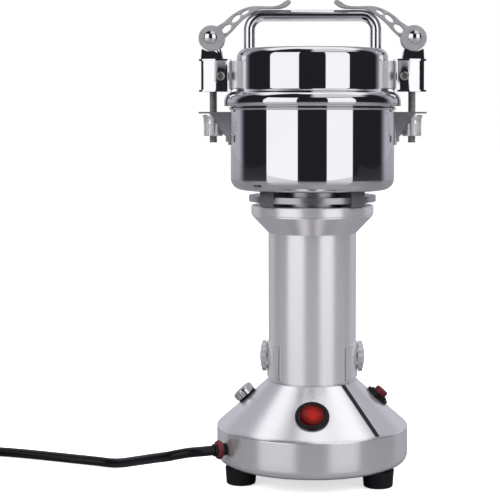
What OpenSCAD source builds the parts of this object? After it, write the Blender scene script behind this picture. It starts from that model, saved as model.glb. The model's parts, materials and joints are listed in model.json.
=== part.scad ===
// Stand-type hammer mill: a small high-speed grinder for grain, seed and spice.
// Origin: centre of the footprint on the floor. +Z up, front is -Y, millimetres.

/* [Base] */
// Outer radius of the drum at the bottom
base_r = 66.35; // [60:0.05:75]
// Height of the rubber feet below the drum
foot_h = 11.4; // [8:0.1:16]
// Height of the straight wall of the drum
drum_h = 25.3; // [20:0.1:34]
// Height of the cone above the drum
cone_h = 31.7; // [26:0.1:40]
// Radius of the three feet at the top
foot_r = 11; // [8:0.5:14]
// Radius of the circle that the feet stand on
foot_circle_r = 54; // [44:0.5:54]
// Sheet thickness of the base
base_wall = 1.6; // [1:0.1:2.5]

/* [Motor] */
// Outer radius of the motor tube
tube_r = 30.5; // [28:0.1:34]
// Height of the straight motor tube
tube_h = 101.7; // [90:0.1:120]
// Wall of the motor tube
tube_wall = 2.2; // [1.6:0.1:3]
// Radius of the rim on top of the motor housing
rim_r = 42.4; // [40:0.1:46]
// Height of the cone between tube and rim
flare_h = 11.9; // [9:0.1:16]
// Height of the rim
rim_h = 7.4; // [6:0.1:10]
// Height of the air gap between rim and bowl
cooling_h = 10.6; // [9:0.1:14]
// Radius of the rotor shaft
shaft_r = 4; // [3.5:0.1:4.5]
// Radius of the armature
armature_r = 19.8; // [17:0.1:20]

/* [Bowl and lid] */
// Outer radius of the bowl
bowl_r = 56.6; // [52:0.1:60]
// Height of the bowl wall up to its mouth
bowl_h = 64.3; // [58:0.1:76]
// Sheet thickness of bowl and lid
sheet = 1.5; // [1:0.1:2]
// Outer radius of the lid above its skirt
lid_r = 52.2; // [48:0.1:53.5]
// Height of the lid from skirt edge to top
lid_h = 39.3; // [36:0.1:44]
// Length of each blade
blade_l = 96; // [80:1:100]

/* [Handle] */
// Radius of the round bar
bar_r = 3.9; // [3:0.1:4.5]
// Half the distance between the legs' centre lines
bar_half_span = 43.6; // [38:0.1:44]
// Height of the bar's top above the lid
bar_h = 27; // [24:0.1:32]
// Bend radius of the bar's centre line
bar_bend_r = 10; // [8:0.5:14]

/* [Latches] */
// Distance from the axis of the mill to the latch rod
rod_x = 68.65; // [66:0.05:72]
// Radius of the threaded rod
rod_r = 2.5; // [2:0.1:3]
// Radius of the cam head on the lever
cam_r = 8.8; // [8:0.1:10]
// Play of a pin or shaft in its bore, on the radius
fit = 0.05; // [0.02:0.01:0.1]
// Gap between a closed cam and its seat
cam_gap = 0.35; // [0.3:0.05:0.6]
// Gap between thumb nut and fork with the lever closed
nut_gap = 1; // [0.9:0.05:1.4]

/* [Controls and lead] */
// Radius of the rocker switch's bezel
bezel_r = 11.5; // [10:0.1:13]
// Tilt of the rocker to each side of its middle
rocker_tilt = 8; // [5:0.5:10]
// Radius of the mains lead
lead_r = 3.4; // [3:0.1:4]

/* [Hidden] */
$fn = 64;
eps = 0.01;

// Levels, from the floor up
z_base = foot_h;
z_drum = z_base + drum_h;
z_tube = z_drum + cone_h;
z_flare = z_tube + tube_h;
z_rim = z_flare + flare_h;
z_deck = z_rim + rim_h;
z_bowl = z_deck + cooling_h;
z_mouth = z_bowl + bowl_h;
z_skirt = z_mouth - 6.6;
z_lid = z_skirt + lid_h;
z_brush = z_tube + 15.5;

// Base
drum_corner_r = 6.5;
cone_a = atan2(cone_h, base_r - tube_r);
lip_r = tube_r - 4.5;
panel_hole_r = 10;
switch_r = 50;
side_part_r = 45;
seam_w = 3.8;
front = -90;
fuse_hole_r = 6;
breaker_hole_r = 6;

// Mains lead: where it leaves the drum, and the points of its route
exit_a = 207.8;
exit_z = 25;
gland_l = 9;
gland_r = lead_r + 0.8;
collar_r = 6.5;
ROUTE = [
    [-66.7, -35.1, 25], [-74.5, -37.8, 24.8], [-82.8, -38.2, 24.1], [-90.8, -36.1, 22.3],
    [-97.8, -31.7, 19.9], [-107, -22.2, 16.5], [-116.5, -11.5, 12.7], [-126, -0.8, 8.9],
    [-135, 9, 5.5], [-143.5, 16.5, 3.7], [-153, 21.5, 3.5], [-163, 25.5, 3.5],
    [-173, 29.4, 3.5], [-190, 36.2, 3.5], [-208, 43, 3.5], [-226, 48.8, 3.5],
    [-244, 52.4, 3.5], [-260, 53.5, 3.5], [-272, 53.5, 3.5]
];
coil_x = -280;
coil_y = 10.6;
coil_mid_r = 36.4;
coil_w = 6 * lead_r + 3;
coil_top = 4 * lead_r + 0.4;
plug_x = coil_x - 44.6;
plug_y = -13.3;
plug_z = 11;

// Motor
bearing_r = 11;
bearing_w = 7;
z_low_bearing = z_tube + 1.6;
z_top_bearing = z_deck - 7;
core_z = z_tube + 31.6;
core_h = 45;
hub_r = 27;
fin_r = 44;
pillar_w = 13;
pillar_a = 45;
seal_r = 9;
saddle_a = 43;
cap_r = 10.75;

// Bowl and lid
bowl_corner_r = 8;
bowl_in_r = bowl_r - sheet;
skirt_r = bowl_r + 4.5;
skirt_corner_r = 7.1;
z_ledge = z_skirt + 10;
lid_corner_r = 6;
z_bar = z_lid + bar_h - bar_r;

// Latches, right-hand side; the left-hand one is its mirror image
pin_x = rod_x + 1.45;
pin_z = z_lid + 8;
pin_r = 4.3;
cam_dx = -0.6;
cam_dz = -0.7;
cheek_in = 3.9;
cheek_out = 7.1;
eye_r = 6.3;
slot_half = rod_r + 0.5;
box_x = 63.1;
box_arc_r = 23;
box_half_y = 9;
box_in = 56.4;
box_out = 76.7;
cheek_t = 2;
z_box = z_lid - 29.4;
box_h = 22.4;
plate_t = 1.2;
flange_out = 78.2;
saddle_r = 56;
screw_z = z_lid - 18.7;
z_seat = pin_z + cam_dz - cam_r - cam_gap;
z_fork = z_skirt - 5.1;
fork_t = 1.1;
nut_r = 6.7;
nut_flare_r = 7.4;
nut_h = 14.5;
z_nut = z_fork - nut_gap - nut_h;
rod_end_z = z_nut - 4.5;

// Points of an arc, in degrees
function arc(cx, cy, r, a0, a1, n = 8) =
    [for (i = [0:n]) let (a = a0 + (a1 - a0) * i / n) [cx + r * cos(a), cy + r * sin(a)]];

// Points of an ellipse turned by a tilt
function oval(cx, cy, a, b, tilt, n = 28) =
    [for (i = [0:n - 1]) let (t = 360 * i / n)
        [cx + a * cos(t) * cos(tilt) - b * sin(t) * sin(tilt),
         cy + a * cos(t) * sin(tilt) + b * sin(t) * cos(tilt)]];

// Catmull-Rom value between b and c
function spline(a, b, c, d, t) =
    0.5 * (2 * b + (c - a) * t + (2 * a - 5 * b + 4 * c - d) * t * t
    + (3 * b - a - 3 * c + d) * t * t * t);

function clamp_at(list, i) = list[max(0, min(len(list) - 1, i))];

// Smooth run through a list of points
function smooth(list, steps) =
    [for (i = [0:len(list) - 2], s = [0:steps - 1])
        spline(clamp_at(list, i - 1), list[i], list[i + 1], clamp_at(list, i + 2), s / steps),
     list[len(list) - 1]];

// Height of the cone's surface at a radius
function cone_z(r) = z_tube - (r - tube_r) * cone_h / (base_r - tube_r);

// Puts children on the cone, their Z along its outward normal
module on_cone(a, r) {
    rotate([0, 0, a])
        translate([r, 0, cone_z(r)])
            rotate([0, cone_a, 0])
                children();
}

// Puts children at the lead's exit, their Z pointing out of the drum
module at_exit() {
    rotate([0, 0, exit_a])
        translate([base_r, 0, exit_z])
            rotate([0, 90, 0])
                children();
}

module ring(r_out, r_in, h) {
    difference() {
        cylinder(r = r_out, h = h);
        translate([0, 0, -1]) cylinder(r = r_in, h = h + 2);
    }
}

// Cylinder along Y, centred on y = 0
module y_rod(x, z, r, l) {
    translate([x, 0, z])
        rotate([90, 0, 0])
            cylinder(r = r, h = l, center = true);
}

// Flat shape drawn in X and Z, given a width along Y
module y_plate(w, y = 0) {
    translate([0, y, 0])
        rotate([90, 0, 0])
            linear_extrude(height = w, center = true)
                children();
}

// side 1 is right, side -1 is left
module on_side(side) {
    if (side > 0) children();
    else mirror([1, 0, 0]) children();
}

module both_sides() {
    children();
    mirror([1, 0, 0]) children();
}

// ---------------------------------------------------------------- base

// The base's outline as a full solid
module base_outer() {
    rotate_extrude()
        polygon(concat(
            [[0, z_base]],
            arc(base_r - drum_corner_r, z_base + drum_corner_r, drum_corner_r, -90, 0),
            [[base_r, z_drum], [tube_r, z_tube], [0, z_tube]]));
}

module base_inner() {
    in_r = base_r - base_wall;
    corner = drum_corner_r - base_wall;
    rise = base_wall / cos(cone_a);
    z_lip = z_tube - base_wall - 0.2;
    lip_edge_r = tube_r + (z_tube - z_lip - rise) * (base_r - tube_r) / cone_h;
    rotate_extrude()
        polygon(concat(
            [[0, z_base - 1], [in_r - corner, z_base - 1]],
            arc(in_r - corner, z_base + base_wall + corner, corner, -90, 0),
            [[in_r, cone_z(in_r) - rise], [lip_edge_r, z_lip], [0, z_lip]]));
}

// Straight slot for the seam strip, seen from outside as a line down the cone
module seam_cut(depth) {
    top = [tube_r + 1, cone_z(tube_r + 1)];
    low = [base_r - 1.2, cone_z(base_r - 1.2)];
    run = norm(low - top);
    rotate([0, 0, front + 42])
        translate([top[0], 0, top[1]])
            rotate([0, cone_a, 0])
                translate([0, -seam_w / 2, -depth])
                    cube([run, seam_w, depth + 3]);
}

module base_shell() {
    color("lightgray")
        difference() {
            base_outer();
            base_inner();
            translate([0, 0, z_tube - 9]) cylinder(r = lip_r, h = 20);
            translate([0, 0, z_base - 1]) cylinder(r = base_r - drum_corner_r, h = 3);
            on_cone(front, switch_r) cylinder(r = panel_hole_r, h = 20, center = true);
            on_cone(180, side_part_r) cylinder(r = fuse_hole_r, h = 20, center = true);
            on_cone(0, side_part_r) cylinder(r = breaker_hole_r, h = 20, center = true);
            at_exit() cylinder(r = gland_r, h = 20, center = true);
            seam_cut(0.8);
        }
}

module seam_strip() {
    color("black")
        intersection() {
            seam_cut(0.8);
            base_outer($fn = 360);
        }
}

module base_plate() {
    color("gray")
        difference() {
            translate([0, 0, z_base]) cylinder(r = base_r - drum_corner_r, h = 1.6);
            feet_at() cylinder(r = 2.1, h = 60);
            for (a = [0:30:330])
                rotate([0, 0, a + 15])
                    translate([26, -2, z_base - 1]) cube([14, 4, 4]);
        }
}

module feet_at() {
    for (a = [-34, 86, 206])
        rotate([0, 0, a])
            translate([foot_circle_r, 0, 0])
                children();
}

module rubber_feet() {
    color("black")
        feet_at()
            difference() {
                rotate_extrude()
                    polygon(concat(
                        [[0, 0]],
                        arc(foot_r - 2.2, 1.2, 1.2, -90, -6, 5),
                        [[foot_r - 0.2, foot_h], [0, foot_h]]));
                translate([0, 0, -1]) cylinder(r = 2.1, h = foot_h + 2);
                translate([0, 0, -1]) cylinder(r = 4.6, h = 5);
            }
}

module base_screws() {
    color("silver")
        feet_at() {
            translate([0, 0, 1]) cylinder(r = 3.8, h = 3);
            translate([0, 0, 4 - eps]) cylinder(r = 2, h = foot_h + 1);
            translate([0, 0, foot_h + 1.6]) cylinder(r = 4, h = 3.2, $fn = 6);
        }
}

// ------------------------------------------------------------ controls

module switch_housing() {
    color("black")
        difference() {
            union() {
                difference() {
                    on_cone(front, switch_r)
                        translate([0, 0, -1.6])
                            rotate_extrude()
                                polygon(concat(
                                    [[0, 0], [bezel_r, 0]],
                                    arc(bezel_r - 1.2, 2.6, 1.2, 0, 90, 4),
                                    [[0, 3.8]]));
                    base_outer();
                }
                on_cone(front, switch_r)
                    translate([0, 0, -18]) cylinder(r = panel_hole_r, h = 18.5);
            }
            on_cone(front, switch_r) {
                translate([0, 0, -5.5]) cylinder(r = 8.7, h = 20);
                translate([0, 0, 0.6]) rotate([0, 90, 0]) cylinder(r = 1 + fit, h = 19, center = true);
            }
        }
}

module rocker_button() {
    color("red")
        on_cone(front, switch_r)
            translate([0, 0, 0.6])
                rotate([0, rocker_tilt, 90]) {
                    intersection() {
                        sphere(r = 8.3);
                        rotate([90, 0, 0])
                            linear_extrude(height = 20, center = true)
                                polygon([[-9, -3.2], [9, -3.2], [9, 2.9], [0, 1.9], [-9, 2.9]]);
                    }
                    rotate([90, 0, 0]) cylinder(r = 1, h = 18.4, center = true);
                }
}

module cone_flange(a, r, h) {
    difference() {
        on_cone(a, side_part_r)
            translate([0, 0, -1.2]) cylinder(r = r, h = h + 1.2);
        base_outer();
    }
}

module fuse_holder() {
    color("black")
        difference() {
            union() {
                cone_flange(180, 7, 1.4);
                on_cone(180, side_part_r) {
                    translate([0, 0, -19]) cylinder(r = fuse_hole_r, h = 19.5);
                    cylinder(r = 4.6, h = 4.4);
                }
            }
            on_cone(180, side_part_r)
                translate([0, 0, -16]) cylinder(r = 3.1, h = 25);
        }
}

module fuse_cap() {
    color("silver")
        on_cone(180, side_part_r)
            translate([0, 0, 1.8])
                difference() {
                    union() {
                        rotate_extrude()
                            polygon(concat([[0, 0], [7.3, 0]], arc(6.1, 3.9, 1.2, 0, 90, 4), [[0, 5.1]]));
                        for (a = [0:15:345])
                            rotate([0, 0, a]) translate([7.2, 0, 0.4]) cylinder(r = 0.5, h = 3.4, $fn = 16);
                    }
                    translate([0, 0, -1]) cylinder(r = 4.6 + fit, h = 4);
                    translate([-5, -0.6, 4.3]) cube([10, 1.2, 2]);
                }
}

module breaker_body() {
    color("black")
        difference() {
            union() {
                cone_flange(0, 8.5, 2);
                on_cone(0, side_part_r) {
                    translate([0, 0, -21]) cylinder(r = breaker_hole_r, h = 21.5);
                    translate([0, 0, 1]) cylinder(r = 6.6, h = 2.2);
                }
            }
            on_cone(0, side_part_r)
                translate([0, 0, -10]) cylinder(r = 4.7 + fit, h = 25);
        }
}

module reset_button() {
    color("red")
        on_cone(0, side_part_r)
            translate([0, 0, -6])
                rotate_extrude()
                    polygon(concat([[0, 0], [4.7, 0]], arc(3.5, 11.6, 1.2, 0, 90, 4), [[0, 12.8]]));
}

// -------------------------------------------------------------- lead

module cord_gland() {
    color("black")
        at_exit()
            difference() {
                union() {
                    // Flange behind the drum's wall, and the sleeve through it
                    translate([0, 0, -base_wall - 3]) cylinder(r = 6.2, h = 2.6);
                    translate([0, 0, -6]) cylinder(r = gland_r, h = 6 + gland_l);
                }
                translate([0, 0, -8]) cylinder(r = lead_r, h = 8 + gland_l - 2);
            }
}

module cord_collar() {
    color("darkred")
        at_exit()
            translate([0, 0, 3.2])
                difference() {
                    rotate_extrude()
                        polygon(concat([[0, 0]], arc(collar_r - 1.9, 1.9, 1.9, -90, 90, 8), [[0, 3.8]]));
                    translate([0, 0, -1]) cylinder(r = gland_r, h = 8);
                }
}

function unit(v) = v / norm(v);

// Tube along a list of points, as one polyhedron
module sweep(path, r, sides) {
    n = len(path);
    rings = [for (i = [0:n - 1])
        let (t = unit(clamp_at(path, i + 1) - clamp_at(path, i - 1)),
             u = unit(cross(t, [0, 0, 1])),
             v = cross(u, t))
        [for (s = [0:sides - 1])
            path[i] + r * (cos(360 * s / sides) * u + sin(360 * s / sides) * v)]];
    points = [for (ring_points = rings) each ring_points];
    walls = [for (i = [0:n - 2], s = [0:sides - 1])
        let (a = i * sides + s, b = i * sides + (s + 1) % sides)
        [a, b, b + sides, a + sides]];
    polyhedron(points, concat(
        [[for (s = [sides - 1:-1:0]) s]], walls,
        [[for (s = [0:sides - 1]) (n - 1) * sides + s]]));
}

module mains_lead() {
    color("black") sweep(smooth(ROUTE, 2), lead_r, 8);
}

module lead_coil() {
    half = coil_w / 2;
    color("black")
        translate([coil_x, coil_y, 0.1])
            rotate_extrude()
                translate([coil_mid_r, 0])
                    polygon(concat(
                        arc(half - lead_r, coil_top - lead_r, lead_r, 0, 90, 3),
                        arc(lead_r - half, coil_top - lead_r, lead_r, 90, 180, 3),
                        arc(lead_r - half, lead_r, lead_r, 180, 270, 3),
                        arc(half - lead_r, lead_r, lead_r, 270, 360, 3)));
}

module at_plug() {
    translate([plug_x, plug_y, plug_z])
        rotate([90, 0, 0])
            children();
}

module mains_plug() {
    color("black")
        at_plug() {
            translate([0, -4, -3]) cylinder(r = 4.2, h = 13.1);
            difference() {
                translate([0, 0, 10])
                    rotate_extrude()
                        polygon(concat([[0, 0]], arc(7, 2.5, 2.5, -90, -30, 3),
                            [[10.4, 18]], arc(9.4, 24, 1, 0, 90, 3), [[0, 25]]));
                plug_pin_shapes();
            }
        }
}

module plug_pin_shapes() {
    for (s = [-1, 1])
        translate([s * 5, 0, 26]) cylinder(r = 2, h = 28);
}

module plug_pins() {
    color("silver") at_plug() plug_pin_shapes();
}

// -------------------------------------------------------------- motor

module motor_housing() {
    in_r = tube_r - tube_wall;
    color("lightgray")
        difference() {
            union() {
                rotate_extrude()
                    polygon([
                        [0, z_tube], [tube_r, z_tube], [tube_r, z_flare],
                        [rim_r - 0.6, z_rim], [rim_r - 0.6, z_rim + 0.9],
                        [rim_r, z_rim + 1.3], [rim_r, z_deck - 0.6],
                        [rim_r - 0.6, z_deck], [0, z_deck]]);
                both_sides() brush_saddle();
            }
            translate([0, 0, z_tube - 1]) cylinder(r = in_r, h = z_flare - z_tube + 3);
            translate([0, 0, z_flare]) cylinder(r = 22, h = flare_h);
            translate([0, 0, z_flare]) cylinder(r = 8, h = 60);
            translate([0, 0, z_top_bearing]) cylinder(r = bearing_r, h = 20);
            both_sides()
                translate([in_r - 3, 0, z_brush]) rotate([0, 90, 0]) cylinder(r = 4.6, h = 20);
        }
}

// Raised pad around each brush cap, with a flat boss for the cap
module brush_saddle() {
    pad_r = tube_r + 1;
    intersection() {
        translate([0, 0, z_tube + 2]) cylinder(r = pad_r, h = 23.4);
        translate([pad_r * cos(saddle_a), -pad_r, z_tube]) cube([pad_r, 2 * pad_r, 40]);
    }
    translate([tube_r - 6, 0, z_brush]) rotate([0, 90, 0]) cylinder(r = 8.6, h = 7.3);
}

module brush_cap(side) {
    on_side(side)
        translate([tube_r + 1.3, 0, z_brush])
            rotate([0, 90, 0])
                difference() {
                    union() {
                        linear_extrude(height = 3)
                            polygon([for (a = [0:4:356])
                                (cap_r - 0.4 + 0.4 * cos(15 * a)) * [cos(a), sin(a)]]);
                        rotate_extrude()
                            polygon(concat([[0, 2], [9.4, 2]], arc(0, -27.4, 32, 72.9, 90, 6)));
                    }
                    translate([-5, -0.7, 3.7]) cube([10, 1.4, 3]);
                }
}

module brush_cap_left() {
    color("dimgray") brush_cap(-1);
}

module brush_cap_right() {
    color("dimgray") brush_cap(1);
}

module brush_holders() {
    color("goldenrod")
        both_sides()
            translate([12.5, 0, z_brush])
                rotate([0, 90, 0])
                    ring(4.6, 3.1, tube_r + 1.3 - 12.5);
}

module carbon_brushes() {
    color("dimgray")
        both_sides()
            translate([11.3, 0, z_brush])
                rotate([0, 90, 0])
                    cylinder(r = 3.1, h = tube_r + 1.3 - 11.3);
}

module stator_core() {
    color("gray")
        translate([0, 0, core_z])
            difference() {
                ring(tube_r - tube_wall, armature_r + 0.7, core_h);
                for (a = [0, 180])
                    rotate([0, 0, a])
                        translate([armature_r - 2, -11, -1]) cube([5.5, 22, core_h + 2]);
            }
}

module field_coils() {
    color("orangered")
        for (z = [core_z - 9, core_z + core_h])
            translate([0, 0, z]) ring(tube_r - tube_wall - 0.8, armature_r + 1.5, 9);
}

module bearing_plate() {
    color("silver")
        translate([0, 0, z_tube])
            difference() {
                union() {
                    cylinder(r = tube_r - tube_wall, h = 4);
                    cylinder(r = 14, h = z_low_bearing + bearing_w - z_tube);
                }
                translate([0, 0, -1]) cylinder(r = 8, h = 30);
                translate([0, 0, z_low_bearing - z_tube]) cylinder(r = bearing_r, h = 20);
                for (a = [0:60:300])
                    rotate([0, 0, a])
                        translate([20.5, 0, -1]) cylinder(r = 3.4, h = 10);
            }
}

module ball_bearings() {
    color("silver")
        for (z = [z_low_bearing, z_top_bearing])
            translate([0, 0, z]) ring(bearing_r, shaft_r + fit, bearing_w);
}

// -------------------------------------------------------------- rotor

z_seal = z_bowl;
z_low_blade = z_bowl + 7;
z_top_blade = z_bowl + 17;
blade_t = 2;
blade_hub_r = 8;

module rotor_shaft() {
    color("silver")
        difference() {
            translate([0, 0, z_tube - 4]) cylinder(r = shaft_r, h = z_top_blade + 11 - z_tube + 4);
            translate([0, 0, z_top_blade + 10]) cylinder(r = 1, h = 5);
        }
}

module armature_core() {
    color("gray")
        translate([0, 0, core_z])
            difference() {
                ring(armature_r, shaft_r, core_h);
                for (a = [0:30:330])
                    rotate([0, 0, a])
                        translate([armature_r - 5, -1.2, -1]) cube([8, 2.4, core_h + 2]);
            }
}

module armature_windings() {
    color("peru")
        for (z = [core_z - 7, core_z + core_h])
            translate([0, 0, z]) ring(17, shaft_r, 7);
}

module commutator() {
    color("peru")
        translate([0, 0, z_brush - 6])
            difference() {
                ring(11, shaft_r, 12);
                for (a = [0:15:345])
                    rotate([0, 0, a])
                        translate([10, -0.3, -1]) cube([2, 0.6, 14]);
            }
}

module cooling_fan() {
    color("dimgray")
        translate([0, 0, core_z + core_h + 10]) {
            ring(24, shaft_r, 1.5);
            ring(8, shaft_r, 7);
            for (a = [0:40:320])
                rotate([0, 0, a])
                    translate([7.5, -0.75, 0]) cube([16, 1.5, 7]);
        }
}

// ------------------------------------------------------ bowl mounting

module pillar_blocks(extra) {
    for (a = [0:90:270])
        rotate([0, 0, a + pillar_a])
            translate([33 - extra, -pillar_w / 2 - extra, z_deck])
                cube([fin_r - 33 + 2 * extra, pillar_w + 2 * extra, cooling_h]);
}

module cooling_hub() {
    color("silver")
        translate([0, 0, z_deck]) ring(hub_r, shaft_r + 2, cooling_h);
}

module fin_disc() {
    color("silver")
        difference() {
            translate([0, 0, z_deck + 2.6]) ring(fin_r, hub_r, 4.2);
            pillar_blocks(0.05);
        }
}

module mount_pillars() {
    color("dimgray") pillar_blocks(0);
}

module shaft_seal() {
    color("black")
        translate([0, 0, z_seal]) ring(seal_r, shaft_r + fit, 4);
}

module bowl_profile() {
    in_corner = bowl_corner_r - sheet;
    c = bowl_r - bowl_corner_r;
    rotate_extrude()
        polygon(concat(
            [[seal_r, z_bowl]],
            arc(c, z_bowl + bowl_corner_r, bowl_corner_r, -90, 0),
            arc(bowl_r, z_skirt - 1.6, 1.1, -90, 90, 6),
            [[bowl_r, z_mouth], [bowl_in_r, z_mouth]],
            arc(c, z_bowl + bowl_corner_r, in_corner, 0, -90),
            [[seal_r, z_bowl + sheet]]));
}

module bowl_screws_at() {
    for (a = [0:90:270])
        rotate([0, 0, a + pillar_a])
            translate([39, 0, 0])
                children();
}

module bowl() {
    color("silver")
        difference() {
            bowl_profile();
            bowl_screws_at() translate([0, 0, z_bowl - 1]) cylinder(r = 1.6, h = 4);
            both_sides() bracket_rivets_at() translate([0, 0, -6]) cylinder(r = 1.6, h = 12);
        }
}

module bowl_screws() {
    color("silver")
        bowl_screws_at()
            difference() {
                union() {
                    translate([0, 0, z_bowl + sheet]) cylinder(r = 3, h = 2);
                    translate([0, 0, z_bowl]) cylinder(r = 1.6, h = sheet + 1);
                }
                translate([0, 0, z_bowl + sheet + 0.9]) cylinder(r = 1.4, h = 3, $fn = 6);
            }
}

// -------------------------------------------------------------- blades

module blade(l, z, turn) {
    translate([0, 0, z])
        rotate([0, 0, turn])
            difference() {
                intersection() {
                    linear_extrude(height = blade_t)
                        polygon([
                            [-l / 2, -3], [-12, -7], [12, -7], [l / 2, -7],
                            [l / 2, 3], [12, 7], [-12, 7], [-l / 2, 7]]);
                    cylinder(r = l / 2, h = 10);
                }
                translate([0, 0, -1]) cylinder(r = shaft_r, h = 10);
            }
}

module lower_blade() {
    color("silver") blade(blade_l, z_low_blade, 20);
}

module upper_blade() {
    color("silver") blade(blade_l - 10, z_top_blade, 110);
}

module blade_spacers() {
    color("silver") {
        translate([0, 0, z_seal + 4.6]) ring(blade_hub_r, shaft_r, z_low_blade - z_seal - 4.6);
        translate([0, 0, z_low_blade + blade_t])
            ring(blade_hub_r, shaft_r, z_top_blade - z_low_blade - blade_t);
    }
}

module blade_nut() {
    color("silver")
        translate([0, 0, z_top_blade + blade_t])
            difference() {
                intersection() {
                    cylinder(r = 7.5, h = 6.5, $fn = 6);
                    rotate_extrude()
                        polygon([[0, 0], [7.5, 0], [7.5, 5.8], [6.6, 6.5], [0, 6.5]]);
                }
                translate([0, 0, -1]) cylinder(r = shaft_r, h = 20);
            }
}

// ----------------------------------------------------------------- lid

module lid_shell() {
    fillet_r = 1.8;
    c = skirt_r - skirt_corner_r;
    color("silver")
        difference() {
            rotate_extrude()
                polygon(concat(
                    [[0, z_lid]],
                    arc(lid_r - lid_corner_r, z_lid - lid_corner_r, lid_corner_r, 90, 0),
                    arc(lid_r + fillet_r, z_ledge + fillet_r, fillet_r, 180, 270, 4),
                    arc(c, z_ledge - skirt_corner_r, skirt_corner_r, 90, 0),
                    [[skirt_r, z_skirt], [skirt_r - sheet, z_skirt]],
                    arc(c, z_ledge - skirt_corner_r, skirt_corner_r - sheet, 0, 90),
                    [[lid_r - sheet, z_ledge - sheet]],
                    arc(lid_r - lid_corner_r, z_lid - lid_corner_r, lid_corner_r - sheet, 0, 90),
                    [[0, z_lid - sheet]]));
            both_sides() saddle_screws_at() translate([0, 0, -12]) cylinder(r = 1.5, h = 20);
        }
}

module lid_gasket() {
    c = skirt_r - skirt_corner_r;
    r = skirt_corner_r - sheet - 0.05;
    z0 = z_mouth + 0.3;
    color("white")
        rotate_extrude()
            polygon(concat(
                [[bowl_r - 3, z0], [bowl_r, z0]],
                arc(c, z_ledge - skirt_corner_r, r, acos((bowl_r - c) / r), 90, 4),
                [[bowl_r - 3, z_ledge - sheet - 0.05]]));
}

module bail_handle() {
    leg_top = z_bar - bar_bend_r;
    color("silver")
        both_sides() {
            translate([bar_half_span, 0, z_lid]) cylinder(r = bar_r, h = leg_top - z_lid);
            translate([bar_half_span - bar_bend_r, 0, leg_top])
                rotate([90, 0, 0])
                    rotate_extrude(angle = 90)
                        translate([bar_bend_r, 0]) circle(r = bar_r);
            translate([0, 0, z_bar])
                rotate([0, 90, 0])
                    cylinder(r = bar_r, h = bar_half_span - bar_bend_r);
        }
}

// ------------------------------------------------------------- latches

// Screws that hold each saddle to the lid, one each side of the latch
module saddle_screws_at() {
    for (a = [-17.5, 17.5])
        rotate([0, 0, a])
            translate([saddle_r, 0, screw_z])
                rotate([0, 90, 0])
                    children();
}

module latch_saddle() {
    half_y = 22.6;
    difference() {
        intersection() {
            translate([0, 0, z_ledge + 2]) ring(saddle_r, lid_r, z_lid - 8.6 - z_ledge - 2);
            translate([30, -half_y, z_skirt]) cube([30, 2 * half_y, 60]);
        }
        saddle_screws_at() translate([0, 0, -12]) cylinder(r = 1.5, h = 20);
    }
    // Block that carries the box, ending inside it
    difference() {
        translate([0, 0, z_box + plate_t])
            linear_extrude(height = box_h - 2 * plate_t)
                intersection() {
                    union() {
                        box_plan(-cheek_t);
                        translate([saddle_r - 2, -5.8]) square([4, 11.6]);
                    }
                    translate([saddle_r - 2, -10]) square([10, 20]);
                }
        translate([0, 0, z_box]) cylinder(r = saddle_r - 0.5, h = 60);
        y_rod(box_x, screw_z, 1.8, 30);
    }
}

module latch_saddles() {
    color("silver") both_sides() latch_saddle();
}

// Outline of the box from above: two cheeks bent to an arc
module box_plan(grow) {
    intersection() {
        translate([box_x, box_arc_r - box_half_y]) circle(r = box_arc_r + grow, $fn = 128);
        translate([box_x, box_half_y - box_arc_r]) circle(r = box_arc_r + grow, $fn = 128);
        translate([box_in, -20]) square([box_out - box_in + grow, 40]);
    }
}

module latch_box() {
    difference() {
        union() {
            // Cheeks
            translate([0, 0, z_box + plate_t])
                linear_extrude(height = box_h - 2 * plate_t)
                    difference() {
                        box_plan(0);
                        box_plan(-cheek_t);
                        translate([rod_x, -slot_half]) square([30, 2 * slot_half]);
                    }
            // Top and bottom plates with an open slot for the rod
            for (z = [z_box, z_box + box_h - plate_t])
                translate([0, 0, z])
                    linear_extrude(height = plate_t)
                        difference() {
                            box_plan(flange_out - box_out);
                            translate([rod_x, 0]) circle(r = slot_half);
                            translate([rod_x, -slot_half]) square([30, 2 * slot_half]);
                        }
        }
        y_rod(box_x, screw_z, 1.8, 30);
    }
}

module latch_boxes() {
    color("silver") both_sides() latch_box();
}

module pan_head(r, h) {
    rotate_extrude()
        polygon(concat([[0, 0], [r, 0]], arc(r - h * 0.6, h * 0.4, h * 0.6, 0, 90, 4), [[0, h]]));
}

module latch_screws() {
    color("silver")
        both_sides() {
            saddle_screws_at() {
                difference() {
                    pan_head(3, 0.9);
                    translate([-2, -0.4, 0.5]) cube([4, 0.8, 2]);
                }
                translate([0, 0, -6]) cylinder(r = 1.5, h = 6);
            }
            y_rod(box_x, screw_z, 1.8, 2 * box_half_y);
            for (s = [-1, 1])
                translate([box_x, s * box_half_y, screw_z])
                    rotate([s > 0 ? -90 : 90, 0, 0])
                        difference() {
                            pan_head(3, 1.8);
                            translate([-2.2, -0.4, 1]) cube([4.4, 0.8, 2]);
                            translate([-0.4, -2.2, 1]) cube([0.8, 4.4, 2]);
                        }
        }
}

// Block on the box with a hollow that the cam rolls in
module cam_seat() {
    z0 = z_box + box_h;
    difference() {
        y_plate(2 * cheek_out)
            polygon([
                [rod_x - 7, z0], [rod_x + 8, z0], [rod_x + 7.6, z_seat + 1.6],
                [rod_x - 5.6, z_seat + 1.6]]);
        y_rod(pin_x - 0.2, z_seat + cam_r + 0.8, cam_r + 0.8, 30);
        translate([rod_x, 0, z0 - 1]) cylinder(r = slot_half, h = 20);
        translate([rod_x, -slot_half, z0 - 1]) cube([30, 2 * slot_half, 20]);
    }
}

module cam_seats() {
    color("silver") both_sides() cam_seat();
}

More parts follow.
